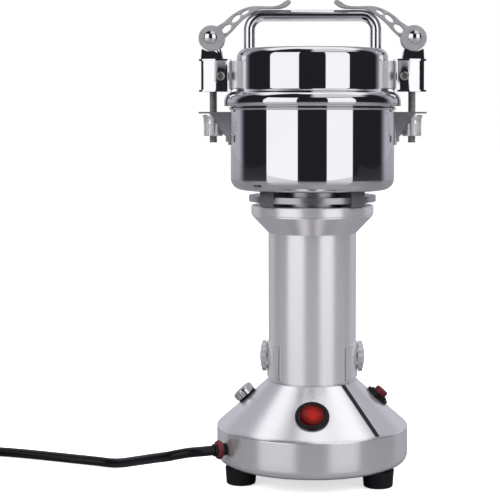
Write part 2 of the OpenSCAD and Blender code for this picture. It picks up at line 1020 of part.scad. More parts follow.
module cross_pin(side) {
    on_side(side)
        translate([pin_x, 0, pin_z])
            rotate([90, 0, 0])
                rotate_extrude()
                    polygon(concat(
                        [[0, -cheek_out - 0.5]],
                        [[pin_r, -cheek_out - 0.5], [pin_r, cheek_out + 0.2]],
                        arc(0, cheek_out - 5.6, 7.2, 53.4, 90, 6)));
}

module cross_pin_left() {
    color("silver") cross_pin(-1);
}

module cross_pin_right() {
    color("silver") cross_pin(1);
}

// Spine of the lever's arm from its head to its tip: x, z from the pin, half thickness
SPINE = [
    [-6.5, 3.4, 4.6], [-11.6, 7.3, 4], [-16.4, 12, 3.6], [-21.8, 16, 3],
    [-27.8, 18.9, 2.2], [-34, 20.45, 0.9], [-41, 20.4, 0.75], [-47.3, 21, 0.95],
    [-51.3, 22.8, 1.5], [-54.6, 25.1, 1.1]
];

// Closed outline around a spine of points with their half thicknesses
function outline(pts) =
    let (n = len(pts),
         side = [for (i = [0:n - 1])
            let (a = clamp_at(pts, i - 1), b = clamp_at(pts, i + 1),
                 t = unit([b[0] - a[0], b[1] - a[1]]))
            [-t[1], t[0]] * pts[i][2]])
    concat(
        [for (i = [0:n - 1]) [pts[i][0], pts[i][1]] + side[i]],
        [for (i = [n - 1:-1:0]) [pts[i][0], pts[i][1]] - side[i]]);

module arm_shape() {
    difference() {
        polygon(outline(smooth(SPINE, 4)));
        polygon(oval(-10.7, 5.9, 4.2, 2.4, 139));
        polygon(oval(-17.4, 13, 3.9, 1.9, 139));
        polygon(oval(-23.7, 17.2, 3.2, 1.25, 150));
    }
}

// Room between the cheeks for the eye, and for the rod however far the lever is turned
module cheek_slot() {
    tilt = 28;
    edge = eye_r - 0.4;
    corner = [-edge * cos(tilt), edge * sin(tilt)];
    circle(r = eye_r + 0.6);
    polygon([
        [0.5, 20], [30, 20], [30, -30], [corner[0] - (30 + corner[1]) * tan(tilt), -30],
        corner, [0.5, corner[1]]]);
}

module cam_lever(side) {
    on_side(side)
        translate([pin_x, 0, pin_z])
            difference() {
                union() {
                    y_rod(cam_dx, cam_dz, cam_r, 2 * cheek_out);
                    y_plate(9.2) arm_shape();
                    // Wide thumb pad at the tip
                    intersection() {
                        y_plate(13) arm_shape();
                        translate([-70, -10, 0]) cube([24, 20, 40]);
                    }
                }
                y_plate(2 * cheek_in) cheek_slot();
                y_rod(0, 0, pin_r + fit, 30);
                // Dimple in the thumb pad
                translate([-52.3, 0, 28.6]) sphere(r = 5);
            }
}

module cam_lever_left() {
    color("silver") cam_lever(-1);
}

module cam_lever_right() {
    color("silver") cam_lever(1);
}

module eye_bolt(side) {
    on_side(side)
        difference() {
            union() {
                y_rod(pin_x, pin_z, eye_r, 7);
                translate([rod_x, 0, rod_end_z]) cylinder(r = rod_r, h = pin_z - rod_end_z - 1);
            }
            y_rod(pin_x, pin_z, pin_r + fit, 30);
        }
}

module eye_bolt_left() {
    color("gray") eye_bolt(-1);
}

module eye_bolt_right() {
    color("gray") eye_bolt(1);
}

module thumb_nut(side) {
    on_side(side)
        translate([rod_x, 0, z_nut])
            difference() {
                rotate_extrude()
                    polygon([
                        [0, 0], [nut_r - 0.5, 0], [nut_r, 0.6], [nut_r, nut_h - 2.6],
                        [nut_flare_r, nut_h - 1.6], [nut_flare_r, nut_h], [0, nut_h]]);
                translate([0, 0, -1]) cylinder(r = rod_r + fit, h = 30);
                for (a = [13:40:333])
                    rotate([0, 0, a]) {
                        translate([nut_r - 1, -1.1, nut_h - 5.4]) cube([3, 2.2, 2.4]);
                        translate([nut_r + 0.9, 0, -1]) cylinder(r = 1.5, h = nut_h - 5, $fn = 20);
                    }
            }
}

module thumb_nut_left() {
    color("silver") thumb_nut(-1);
}

module thumb_nut_right() {
    color("silver") thumb_nut(1);
}

// ------------------------------------------------------- bowl brackets

module bracket_rivets_at() {
    for (y = [-5.5, 5.5])
        translate([bowl_r + 1.8, y, z_fork - 17])
            rotate([0, 90, 0])
                children();
}

module bowl_bracket(side) {
    half_y = 9.6;
    plate_r = bowl_r + 1.8;
    z0 = z_fork - 21.6;
    on_side(side)
        difference() {
            union() {
                // Plate bent to the bowl
                intersection() {
                    translate([0, 0, z0]) ring(plate_r, bowl_r, z_fork + fork_t - z0);
                    translate([30, -half_y, z0]) cube([40, 2 * half_y, 40]);
                }
                // Fork
                difference() {
                    translate([bowl_r - 3, -half_y, z_fork])
                        cube([flange_out - bowl_r + 3, 2 * half_y, fork_t]);
                    translate([0, 0, z_fork - 1]) cylinder(r = bowl_r, h = 4);
                    translate([rod_x, 0, z_fork - 1]) cylinder(r = slot_half, h = 5);
                    translate([rod_x, -slot_half, z_fork - 1]) cube([30, 2 * slot_half, 5]);
                }
                // Gussets
                for (s = [-1, 1])
                    difference() {
                        y_plate(1.2, s * (half_y - 0.6))
                            polygon([
                                [bowl_r - 2, z_fork + 0.5], [69.4, z_fork + 0.5],
                                [69.4, z_fork - 1], [61, z_fork - 14.5], [bowl_r - 2, z_fork - 19]]);
                        translate([0, 0, z0 - 1]) cylinder(r = bowl_r, h = 60);
                    }
            }
            bracket_rivets_at() translate([0, 0, -6]) cylinder(r = 1.6, h = 12);
        }
}

module bowl_bracket_left() {
    color("silver") bowl_bracket(-1);
}

module bowl_bracket_right() {
    color("silver") bowl_bracket(1);
}

module bracket_rivets() {
    color("gray")
        both_sides()
            bracket_rivets_at() {
                pan_head(2.6, 1.3);
                translate([0, 0, -3.6]) cylinder(r = 1.6, h = 4);
            }
}

base_shell();
base_plate();
rubber_feet();
base_screws();
seam_strip();
switch_housing();
rocker_button();
fuse_holder();
fuse_cap();
breaker_body();
reset_button();
cord_gland();
cord_collar();
mains_lead();
lead_coil();
mains_plug();
plug_pins();
motor_housing();
brush_cap_left();
brush_cap_right();
brush_holders();
carbon_brushes();
stator_core();
field_coils();
bearing_plate();
ball_bearings();
rotor_shaft();
armature_core();
armature_windings();
commutator();
cooling_fan();
cooling_hub();
fin_disc();
mount_pillars();
shaft_seal();
bowl();
bowl_screws();
bowl_bracket_left();
bowl_bracket_right();
bracket_rivets();
blade_spacers();
lower_blade();
upper_blade();
blade_nut();
lid_shell();
lid_gasket();
bail_handle();
latch_saddles();
latch_boxes();
latch_screws();
cam_seats();
cross_pin_left();
cross_pin_right();
cam_lever_left();
cam_lever_right();
eye_bolt_left();
eye_bolt_right();
thumb_nut_left();
thumb_nut_right();
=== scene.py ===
"""Looks of a stand-type hammer mill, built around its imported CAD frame.

Each sub-assembly is a class with its own sizes in metres. Most shapes are surfaces of
revolution or profiles carried along a path, worked out as whole arrays, and each finish is
a small class that writes a node tree.
"""

import json
import logging
import math
from collections.abc import Callable, Sequence
from dataclasses import dataclass, field
from enum import Enum

import bmesh
import bpy
import numpy as np
from mathutils import Matrix, Vector

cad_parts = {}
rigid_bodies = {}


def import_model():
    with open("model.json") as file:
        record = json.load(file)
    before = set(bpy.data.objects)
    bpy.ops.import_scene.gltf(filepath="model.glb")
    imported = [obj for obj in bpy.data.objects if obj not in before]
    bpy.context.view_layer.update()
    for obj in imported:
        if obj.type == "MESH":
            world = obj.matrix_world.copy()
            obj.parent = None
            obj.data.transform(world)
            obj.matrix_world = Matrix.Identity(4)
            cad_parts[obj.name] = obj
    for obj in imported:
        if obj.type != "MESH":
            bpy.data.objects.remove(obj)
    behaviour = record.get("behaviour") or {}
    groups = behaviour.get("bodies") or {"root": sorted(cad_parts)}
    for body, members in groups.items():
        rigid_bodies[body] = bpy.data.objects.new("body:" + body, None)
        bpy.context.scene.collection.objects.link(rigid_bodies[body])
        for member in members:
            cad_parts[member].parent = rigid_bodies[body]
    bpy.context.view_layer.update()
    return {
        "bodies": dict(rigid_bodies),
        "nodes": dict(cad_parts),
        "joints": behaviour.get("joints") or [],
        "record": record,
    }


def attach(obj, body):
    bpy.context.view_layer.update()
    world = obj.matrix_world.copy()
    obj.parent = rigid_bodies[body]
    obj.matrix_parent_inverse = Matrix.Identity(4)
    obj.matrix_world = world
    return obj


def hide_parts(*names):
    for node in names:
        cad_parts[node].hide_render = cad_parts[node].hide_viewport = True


log = logging.getLogger("hammer_mill")
MM = 0.001
EASED_ANGLE = 38
WELD_DISTANCE = 2e-6
FLAT_ANGLE = 0.4


# ---------------------------------------------------------------- curves and surfaces


def arc(cx: float, cz: float, r: float, a0: float, a1: float, n: int = 12) -> np.ndarray:
    """Points of an arc: centre plus r times (cos a, sin a), with a from a0 to a1 degrees.

    Args:
        cx: First coordinate of the centre.
        cz: Second coordinate of the centre.
        r: Radius.
        a0: First angle in degrees.
        a1: Last angle in degrees.
        n: Number of steps.

    Returns:
        An array of n + 1 points.
    """
    a = np.radians(np.linspace(a0, a1, n + 1))
    return np.stack([cx + r * np.cos(a), cz + r * np.sin(a)], axis=1)


def line(p: Sequence[float], q: Sequence[float], n: int = 1) -> np.ndarray:
    """Points from p to q in n equal steps, both ends included."""
    t = np.linspace(0, 1, n + 1)[:, None]
    return np.asarray(p, float) * (1 - t) + np.asarray(q, float) * t


def joined(*runs: np.ndarray) -> np.ndarray:
    """One run of points from several, with points that repeat left out."""
    pts = np.concatenate([np.atleast_2d(r) for r in runs])
    keep = np.r_[True, np.linalg.norm(np.diff(pts, axis=0), axis=1) > 1e-7]
    return pts[keep]


def smooth(points: Sequence[Sequence[float]], steps: int) -> np.ndarray:
    """Catmull-Rom curve through points: a cubic in t between each pair of neighbours.

    Args:
        points: Points that the curve passes through.
        steps: Steps between two of them.

    Returns:
        An array with steps points for each span, and the last point.
    """
    p = np.asarray(points, float)
    a, b, c, d = (p[np.clip(np.arange(len(p) - 1) + k, 0, len(p) - 1)] for k in (-1, 0, 1, 2))
    t = np.linspace(0, 1, steps, endpoint=False)[None, :, None]
    a, b, c, d = (x[:, None, :] for x in (a, b, c, d))
    curve = 0.5 * (
        2 * b + (c - a) * t + (2 * a - 5 * b + 4 * c - d) * t**2 + (3 * b - a - 3 * c + d) * t**3
    )
    return np.concatenate([curve.reshape(-1, p.shape[1]), p[-1:]])


def grid_faces(rows: int, columns: int, close_rows: bool, close_columns: bool) -> np.ndarray:
    """Quads between neighbouring points of a grid whose index is row * columns + column."""
    i = np.arange(rows if close_rows else rows - 1)
    j = np.arange(columns if close_columns else columns - 1)
    i, j = (x.ravel() for x in np.meshgrid(i, j, indexing="ij"))
    i2, j2 = (i + 1) % rows, (j + 1) % columns
    return np.stack(
        [i * columns + j, i2 * columns + j, i2 * columns + j2, i * columns + j2], axis=1
    )


def new_mesh(name: str, verts: np.ndarray, faces: Sequence[Sequence[int]]) -> bpy.types.Object:
    """Object with a smooth-shaded mesh of these corners and faces, at the origin.

    Args:
        name: Name of the piece.
        verts: Corners in metres, in the frame of the mill.
        faces: Corner numbers of each face.

    Returns:
        The new object.
    """
    mesh = bpy.data.meshes.new(name)
    mesh.from_pydata(np.asarray(verts, float).tolist(), [], [list(map(int, f)) for f in faces])
    mesh.validate()
    mesh.polygons.foreach_set("use_smooth", np.ones(len(mesh.polygons), bool))
    mesh.update()
    obj = bpy.data.objects.new(name, mesh)
    bpy.context.scene.collection.objects.link(obj)
    return obj


def keep_corners_sharp(obj: bpy.types.Object, degrees: float = 32) -> bpy.types.Object:
    """Marks edges sharper than an angle, so that smooth shading stops at them."""
    obj.data.set_sharp_from_angle(angle=math.radians(degrees))
    return obj


def lathe(name: str, profile: np.ndarray, steps: int = 192) -> bpy.types.Object:
    """Surface of revolution: (r cos a, r sin a, z) for each profile point (r, z) and angle a.

    A profile whose ends lie on the axis gives a closed solid with one corner at each pole,
    and any other profile is taken as a closed loop.

    Args:
        name: Name of the piece.
        profile: Radius and height of each point, in millimetres, counter-clockwise.
        steps: Number of angles.

    Returns:
        The new object.
    """
    profile = np.asarray(profile, float) * MM
    poles = profile[0, 0] < 1e-9 and profile[-1, 0] < 1e-9
    body = profile[1:-1] if poles else profile
    a = np.linspace(0, 2 * math.pi, steps, endpoint=False)
    verts = np.stack(
        [
            np.outer(body[:, 0], np.cos(a)),
            np.outer(body[:, 0], np.sin(a)),
            np.repeat(body[:, 1:], steps, axis=1),
        ],
        axis=-1,
    ).reshape(-1, 3)
    faces = grid_faces(len(body), steps, not poles, True)[:, ::-1].tolist()
    if poles:
        count = len(verts)
        ends = np.array([[0, 0, profile[0, 1]], [0, 0, profile[-1, 1]]])
        verts = np.concatenate([verts, ends])
        k = np.arange(steps)
        last = (len(body) - 1) * steps
        faces += np.stack([np.full(steps, count), (k + 1) % steps, k], axis=1).tolist()
        faces += np.stack(
            [np.full(steps, count + 1), last + k, last + (k + 1) % steps], axis=1
        ).tolist()
    return new_mesh(name, verts, faces)


def capped(name: str, rings: np.ndarray) -> bpy.types.Object:
    """Closed skin over a row of rings, with flat ends.

    Args:
        name: Name of the piece.
        rings: Points in metres, by ring and place on the ring.

    Returns:
        The new object.
    """
    rows, sides = rings.shape[:2]
    faces = grid_faces(rows, sides, False, True)[:, ::-1].tolist()
    faces += [list(range(sides)), list(range((rows - 1) * sides, rows * sides))]
    return with_outward_normals(new_mesh(name, rings.reshape(-1, 3), faces))


def frames_along(path: np.ndarray, up: Sequence[float]) -> tuple[np.ndarray, np.ndarray]:
    """Two directions square to a path at each point: tangent cross up, and that cross tangent."""
    tangent = np.gradient(path, axis=0)
    tangent /= np.linalg.norm(tangent, axis=1)[:, None]
    side = np.cross(tangent, np.asarray(up, float))
    side /= np.linalg.norm(side, axis=1)[:, None]
    return side, np.cross(side, tangent)


def tube(
    name: str, path: np.ndarray, radius: float, up: Sequence[float], sides: int = 32
) -> bpy.types.Object:
    """Round tube: path point plus radius times (cos a side + sin a rise), with flat ends.

    Args:
        name: Name of the piece.
        path: Centre line in metres.
        radius: Radius in metres.
        up: A direction that the path never follows.
        sides: Corners of each ring.

    Returns:
        The new object.
    """
    side, rise = frames_along(path, up)
    a = np.linspace(0, 2 * math.pi, sides, endpoint=False)[None, :, None]
    rings = path[:, None] + radius * (np.cos(a) * side[:, None] + np.sin(a) * rise[:, None])
    return capped(name, rings)


def with_outward_normals(obj: bpy.types.Object) -> bpy.types.Object:
    """Turns every face of a closed mesh outwards."""
    work = bmesh.new()
    work.from_mesh(obj.data)
    bmesh.ops.recalc_face_normals(work, faces=work.faces)
    work.to_mesh(obj.data)
    work.free()
    obj.data.update()
    return obj


def placed(obj: bpy.types.Object, matrix: Matrix) -> bpy.types.Object:
    """Moves the mesh itself by a matrix and leaves the object at the origin."""
    obj.data.transform(matrix)
    if matrix.determinant() < 0:
        obj.data.flip_normals()
    obj.data.update()
    return obj


def eased(node: bpy.types.Object, name: str, radius: float) -> bpy.types.Object:
    """Copy of a CAD part whose facets are joined and whose edges are rounded.

    Args:
        node: The CAD part.
        name: Name of the new piece.
        radius: How far the rounding reaches from each edge, in millimetres.

    Returns:
        The new piece. Edges sharper than EASED_ANGLE are rounded, and softer ones are smooth.
    """
    mesh = bpy.data.meshes.new(name)
    work = bmesh.new()
    work.from_mesh(node.data)
    bmesh.ops.remove_doubles(work, verts=work.verts, dist=WELD_DISTANCE)
    flat = math.radians(FLAT_ANGLE)
    bmesh.ops.dissolve_limit(work, angle_limit=flat, verts=work.verts, edges=work.edges)
    work.to_mesh(mesh)
    work.free()
    mesh.polygons.foreach_set("use_smooth", np.ones(len(mesh.polygons), bool))
    obj = bpy.data.objects.new(name, mesh)
    bpy.context.scene.collection.objects.link(obj)
    keep_corners_sharp(obj, EASED_ANGLE)
    bevel = obj.modifiers.new("rounded_edges", "BEVEL")
    bevel.width = radius * MM
    bevel.segments = 2
    bevel.limit_method = "ANGLE"
    bevel.angle_limit = math.radians(EASED_ANGLE)
    bevel.harden_normals = True
    return obj


# ---------------------------------------------------------------- shader helpers


class Nodes:
    """A node tree with short ways to add and join its nodes."""

    def __init__(self, tree: bpy.types.NodeTree) -> None:
        """Keeps the tree to work on."""
        self.tree = tree

    def add(self, kind: str, **values: object) -> bpy.types.Node:
        """Adds a node of a Blender type, and sets its properties by name."""
        node = self.tree.nodes.new(kind)
        for name, value in values.items():
            setattr(node, name, value)
        return node

    def feed(self, socket: bpy.types.NodeSocket, value: object) -> None:
        """Joins an output to a socket, or sets the socket to a plain value."""
        if isinstance(value, bpy.types.NodeSocket):
            self.tree.links.new(value, socket)
        elif value is not None:
            socket.default_value = value

    def math(self, operation: str, *values: object, clamp: bool = False) -> bpy.types.NodeSocket:
        """Result of a Math node on up to three values."""
        node = self.add("ShaderNodeMath", operation=operation, use_clamp=clamp)
        for socket, value in zip(node.inputs, values):
            self.feed(socket, value)
        return node.outputs[0]

    def ramp(self, value: object, low: float, high: float, to: tuple[float, float] = (0, 1)):
        """Value mapped smoothly from low to high, to a range."""
        node = self.add("ShaderNodeMapRange", interpolation_type="SMOOTHSTEP")
        for name, v in zip(
            ("Value", "From Min", "From Max", "To Min", "To Max"), (value, low, high, *to)
        ):
            self.feed(node.inputs[name], v)
        return node.outputs["Result"]

    def mix(self, factor: object, a: object, b: object) -> bpy.types.NodeSocket:
        """Colour between a and b."""
        node = self.add("ShaderNodeMix", data_type="RGBA")
        for name, v in zip(("Factor", "A", "B"), (factor, a, b)):
            sockets = [s for s in node.inputs if s.name == name and s.enabled]
            self.feed(sockets[0], v)
        return [s for s in node.outputs if s.enabled][0]

    def noise(self, vector: object, scale: float, detail: float = 3, rough: float = 0.5):
        """Value of a noise texture at a vector."""
        node = self.add("ShaderNodeTexNoise")
        self.feed(node.inputs["Vector"], vector)
        for name, v in zip(("Scale", "Detail", "Roughness"), (scale, detail, rough)):
            node.inputs[name].default_value = v
        return node.outputs[0]

    def scale(self, vector: object, factor: object) -> bpy.types.NodeSocket:
        """Vector times a factor."""
        node = self.add("ShaderNodeVectorMath", operation="SCALE")
        self.feed(node.inputs[0], vector)
        self.feed(node.inputs["Scale"], factor)
        return node.outputs[0]

    def split(self, vector: object) -> list[bpy.types.NodeSocket]:
        """X, Y and Z of a vector."""
        node = self.add("ShaderNodeSeparateXYZ")
        self.feed(node.inputs[0], vector)
        return list(node.outputs)

    def vector(self, x: object, y: object, z: object) -> bpy.types.NodeSocket:
        """Vector of three values."""
        node = self.add("ShaderNodeCombineXYZ")
        for socket, value in zip(node.inputs, (x, y, z)):
            self.feed(socket, value)
        return node.outputs[0]


def make_group(
    name: str, inputs: dict[str, tuple[str, object]], outputs: dict[str, str]
) -> tuple[bpy.types.NodeTree, Nodes, bpy.types.Node, bpy.types.Node]:
    """New shader node group with named sockets.

    Args:
        name: Name of the group.
        inputs: Socket type and value of each input, by its name.
        outputs: Socket type of each output, by its name.

    Returns:
        The tree, its helper, its input node and its output node.
    """
    tree = bpy.data.node_groups.new(name, "ShaderNodeTree")
    for label, (kind, value) in inputs.items():
        socket = tree.interface.new_socket(label, in_out="INPUT", socket_type=kind)
        if value is not None:
            socket.default_value = value
    for label, kind in outputs.items():
        tree.interface.new_socket(label, in_out="OUTPUT", socket_type=kind)
    nodes = Nodes(tree)
    return tree, nodes, nodes.add("NodeGroupInput"), nodes.add("NodeGroupOutput")


class Effects:
    """Effects that several finishes share, each one node group."""

    @staticmethod
    def _once(name: str, make: Callable[[], bpy.types.NodeTree]) -> bpy.types.NodeTree:
        """The group of that name, made the first time it is asked for."""
        return bpy.data.node_groups.get(name) or make()

    @classmethod
    def grain(cls) -> bpy.types.NodeTree:
        """Brushed lines. The noise is stretched along one direction by its three scales."""

        def make() -> bpy.types.NodeTree:
            tree, n, ins, outs = make_group(
                "brushed_grain",
                {
                    "Vector": ("NodeSocketVector", None),
                    "Roughness": ("NodeSocketFloat", 0.3),
                    "Spread": ("NodeSocketFloat", 0.08),
                },
                {"Roughness": "NodeSocketFloat", "Height": "NodeSocketFloat"},
            )
            fine = n.noise(ins.outputs["Vector"], 1.0, 4, 0.65)
            wide = n.noise(ins.outputs["Vector"], 0.23, 2, 0.5)
            lines = n.math("ADD", n.math("MULTIPLY", fine, 0.7), n.math("MULTIPLY", wide, 0.3))
            offset = n.math("MULTIPLY", n.math("SUBTRACT", lines, 0.5), ins.outputs["Spread"])
            rough = n.math("ADD", ins.outputs["Roughness"], offset, clamp=True)
            n.feed(outs.inputs["Roughness"], rough)
            n.feed(outs.inputs["Height"], lines)
            return tree

        return cls._once("brushed_grain", make)

    @classmethod
    def handling(cls) -> bpy.types.NodeTree:
        """Smudges and faint wipe marks: two soft noises, cut so that most of the surface is clean."""

        def make() -> bpy.types.NodeTree:
            tree, n, ins, outs = make_group(
                "handling_marks",
                {
                    "Vector": ("NodeSocketVector", None),
                    "Size": ("NodeSocketFloat", 40.0),
                    "Amount": ("NodeSocketFloat", 0.1),
                },
                {"Mask": "NodeSocketFloat"},
            )
            scaled = n.scale(ins.outputs["Vector"], ins.outputs["Size"])
            soft = n.ramp(n.noise(scaled, 1.0, 2, 0.5), 0.5, 0.72)
            streak = n.ramp(n.noise(scaled, 4.3, 5, 0.7), 0.42, 0.7)
            mask = n.math("MULTIPLY", n.math("MULTIPLY", soft, streak), ins.outputs["Amount"])
            n.feed(outs.inputs["Mask"], mask)
            return tree

        return cls._once("handling_marks", make)

    @classmethod
    def pebble(cls) -> bpy.types.NodeTree:
        """Moulded texture: fine noise over a coarser one, as a height."""

        def make() -> bpy.types.NodeTree:
            tree, n, ins, outs = make_group(
                "moulded_texture",
                {
                    "Vector": ("NodeSocketVector", None),
                    "Size": ("NodeSocketFloat", 1500.0),
                },
                {"Height": "NodeSocketFloat"},
            )
            scaled = n.scale(ins.outputs["Vector"], ins.outputs["Size"])
            fine = n.noise(scaled, 1.0, 3, 0.6)
            wide = n.noise(scaled, 0.2, 2, 0.5)
            height = n.math("ADD", n.math("MULTIPLY", fine, 0.75), n.math("MULTIPLY", wide, 0.25))
            n.feed(outs.inputs["Height"], height)
            return tree

        return cls._once("moulded_texture", make)

    @classmethod
    def tone(cls) -> bpy.types.NodeTree:
        """Slight change of a colour over the surface, by a wide noise."""

        def make() -> bpy.types.NodeTree:
            tree, n, ins, outs = make_group(
                "colour_tone",
                {
                    "Vector": ("NodeSocketVector", None),
                    "Colour": ("NodeSocketColor", (0.8, 0.8, 0.8, 1)),
                    "Darker": ("NodeSocketFloat", 0.9),
                    "Size": ("NodeSocketFloat", 30.0),
                },
                {"Colour": "NodeSocketColor"},
            )
            scaled = n.scale(ins.outputs["Vector"], ins.outputs["Size"])
            mask = n.ramp(n.noise(scaled, 1.0, 3, 0.55), 0.3, 0.75)
            dark = n.scale(ins.outputs["Colour"], ins.outputs["Darker"])
            n.feed(outs.inputs["Colour"], n.mix(mask, ins.outputs["Colour"], dark))
            return tree

        return cls._once("colour_tone", make)


class Lay(Enum):
    """Which way the brushed lines of a metal run."""

    AROUND = "around"
    UPRIGHT = "upright"
    ALONG_X = "along x"
    ANY = "any"


def lay_vector(n: Nodes, coords: object, lay: Lay, fine: float) -> bpy.types.NodeSocket:
    """Coordinates stretched so that noise on them runs in lines.

    Args:
        n: The tree's helper.
        coords: Object coordinates.
        lay: Which way the lines run.
        fine: Lines to a metre across the lines.

    Returns:
        A vector. Around the axis it is (slow angle, radius, height), so lines run in circles.
    """
    x, y, z = n.split(coords)
    slow = fine * 0.012
    if lay is Lay.AROUND:
        r = n.math("SQRT", n.math("ADD", n.math("MULTIPLY", x, x), n.math("MULTIPLY", y, y)))
        return n.vector(
            n.math("MULTIPLY", n.math("ARCTAN2", y, x), 1.3),
            n.math("MULTIPLY", r, fine),
            n.math("MULTIPLY", z, fine),
        )
    scales = {
        Lay.UPRIGHT: (fine, fine, slow),
        Lay.ALONG_X: (slow, fine, fine),
        Lay.ANY: (fine, fine, fine),
    }[lay]
    return n.vector(*(n.math("MULTIPLY", v, s) for v, s in zip((x, y, z), scales)))


# ---------------------------------------------------------------- finishes


@dataclass(frozen=True)
class Finish:
    """A material with one Principled shader. Each kind of finish adds its own detail."""

    name: str
    colour: tuple[float, float, float] = (0.8, 0.8, 0.8)
    roughness: float = 0.4

    def material(self) -> bpy.types.Material:
        """The material, made the first time it is asked for."""
        name = f"{self.name}_finish"
        found = bpy.data.materials.get(name)
        if found:
            return found
        mat = bpy.data.materials.new(name)
        mat.use_nodes = True
        mat.diffuse_color = (*self.colour, 1)
        n = Nodes(mat.node_tree)
        shader = mat.node_tree.nodes["Principled BSDF"]
        shader.inputs["Base Color"].default_value = (*self.colour, 1)
        shader.inputs["Roughness"].default_value = self.roughness
        coords = n.add("ShaderNodeTexCoord").outputs["Object"]
        self.detail(n, shader, coords)
        return mat

    def detail(self, n: Nodes, shader: bpy.types.Node, coords: bpy.types.NodeSocket) -> None:
        """Adds what the finish shows up close."""
        raise NotImplementedError

    def use(self, n: Nodes, group: bpy.types.NodeTree, **values: object) -> bpy.types.Node:
        """Places a shared effect, and feeds its inputs by name."""
        node = n.add("ShaderNodeGroup", node_tree=group)
        for label, value in values.items():
            n.feed(node.inputs[label], value)
        return node

    def wear(
        self,
        n: Nodes,
        shader: bpy.types.Node,
        rough: object,
        coords: object,
        size: float,
        amount: float,
    ) -> None:
        """Feeds the roughness, higher where the surface has been handled or scuffed."""
        marks = self.use(n, Effects.handling(), Vector=coords, Size=size, Amount=amount)
        worn = n.math("ADD", rough, marks.outputs["Mask"], clamp=True)
        n.feed(shader.inputs["Roughness"], worn)

    def shade(
        self, n: Nodes, shader: bpy.types.Node, vector: object, darker: float, size: float
    ) -> None:
        """Feeds the base colour, with a slight change of tone over the surface."""
        colour = (*self.colour, 1)
        tone = self.use(n, Effects.tone(), Vector=vector, Colour=colour, Darker=darker, Size=size)
        n.feed(shader.inputs["Base Color"], tone.outputs["Colour"])

    def bump(
        self, n: Nodes, shader: bpy.types.Node, height: object, depth: float, strength: float = 1
    ) -> None:
        """Feeds the shader's Normal from a height in metres."""
        node = n.add("ShaderNodeBump")
        node.inputs["Distance"].default_value = depth
        node.inputs["Strength"].default_value = strength
        n.feed(node.inputs["Height"], height)
        n.feed(shader.inputs["Normal"], node.outputs[0])


@dataclass(frozen=True)
class BrushedMetal(Finish):
    """Satin metal with brushed lines, a change of tone, and handling marks."""

    lay: Lay = Lay.AROUND
    fine: float = 5200.0
    spread: float = 0.08
    depth: float = 0.00002
    marks: float = 0.05
    darker: float = 0.965
    metallic: float = 1.0

    def detail(self, n: Nodes, shader: bpy.types.Node, coords: bpy.types.NodeSocket) -> None:
        """Lines change the roughness and the height; marks add to the roughness."""
        shader.inputs["Metallic"].default_value = self.metallic
        vector = lay_vector(n, coords, self.lay, self.fine)
        grain = self.use(
            n, Effects.grain(), Vector=vector, Roughness=self.roughness, Spread=self.spread
        )
        self.wear(n, shader, grain.outputs["Roughness"], coords, 45.0, self.marks)
        self.shade(n, shader, vector, self.darker, 0.5)
        self.bump(n, shader, grain.outputs["Height"], self.depth)


@dataclass(frozen=True)
class MirrorMetal(Finish):
    """Polished metal: nearly a mirror, with hairlines, smudges and a faint spun waviness."""

    lay: Lay = Lay.AROUND
    fine: float = 900.0
    hairlines: float = 0.02
    marks: float = 0.06

    def detail(self, n: Nodes, shader: bpy.types.Node, coords: bpy.types.NodeSocket) -> None:
        """Hairlines and smudges change only the roughness, so that reflections stay true."""
        shader.inputs["Metallic"].default_value = 1.0
        vector = lay_vector(n, coords, self.lay, self.fine)
        grain = self.use(
            n, Effects.grain(), Vector=vector, Roughness=self.roughness, Spread=self.hairlines
        )
        self.wear(n, shader, grain.outputs["Roughness"], coords, 38.0, self.marks)
        self.shade(n, shader, coords, 0.97, 22.0)


@dataclass(frozen=True)
class CastMetal(Finish):
    """Tumbled cast metal: a fine pebbled height and cloudy roughness."""

    size: float = 1400.0
    depth: float = 0.00003
    metallic: float = 1.0

    def detail(self, n: Nodes, shader: bpy.types.Node, coords: bpy.types.NodeSocket) -> None:
        """The pebbled height also clouds the roughness."""
        shader.inputs["Metallic"].default_value = self.metallic
        pebble = self.use(n, Effects.pebble(), Vector=coords, Size=self.size)
        cloud = n.math("MULTIPLY", n.math("SUBTRACT", pebble.outputs["Height"], 0.5), 0.25)
        self.wear(n, shader, n.math("ADD", self.roughness, cloud), coords, 60.0, 0.12)
        self.shade(n, shader, coords, 0.86, 140.0)
        self.bump(n, shader, pebble.outputs["Height"], self.depth)


@dataclass(frozen=True)
class Moulded(Finish):
    """Moulded plastic or rubber: fine texture, soft scuffs and a slight change of tone."""

    size: float = 1600.0
    depth: float = 0.00005
    scuffs: float = 0.1
    coat: float = 0.0

    def detail(self, n: Nodes, shader: bpy.types.Node, coords: bpy.types.NodeSocket) -> None:
        """Scuffs raise the roughness where things rub."""
        shader.inputs["Coat Weight"].default_value = self.coat
        shader.inputs["Coat Roughness"].default_value = 0.08
        shader.inputs["Specular IOR Level"].default_value = 0.3
        pebble = self.use(n, Effects.pebble(), Vector=coords, Size=self.size)
        self.wear(n, shader, self.roughness, coords, 90.0, self.scuffs)
        self.shade(n, shader, coords, 0.75, 80.0)
        self.bump(n, shader, pebble.outputs["Height"], self.depth)


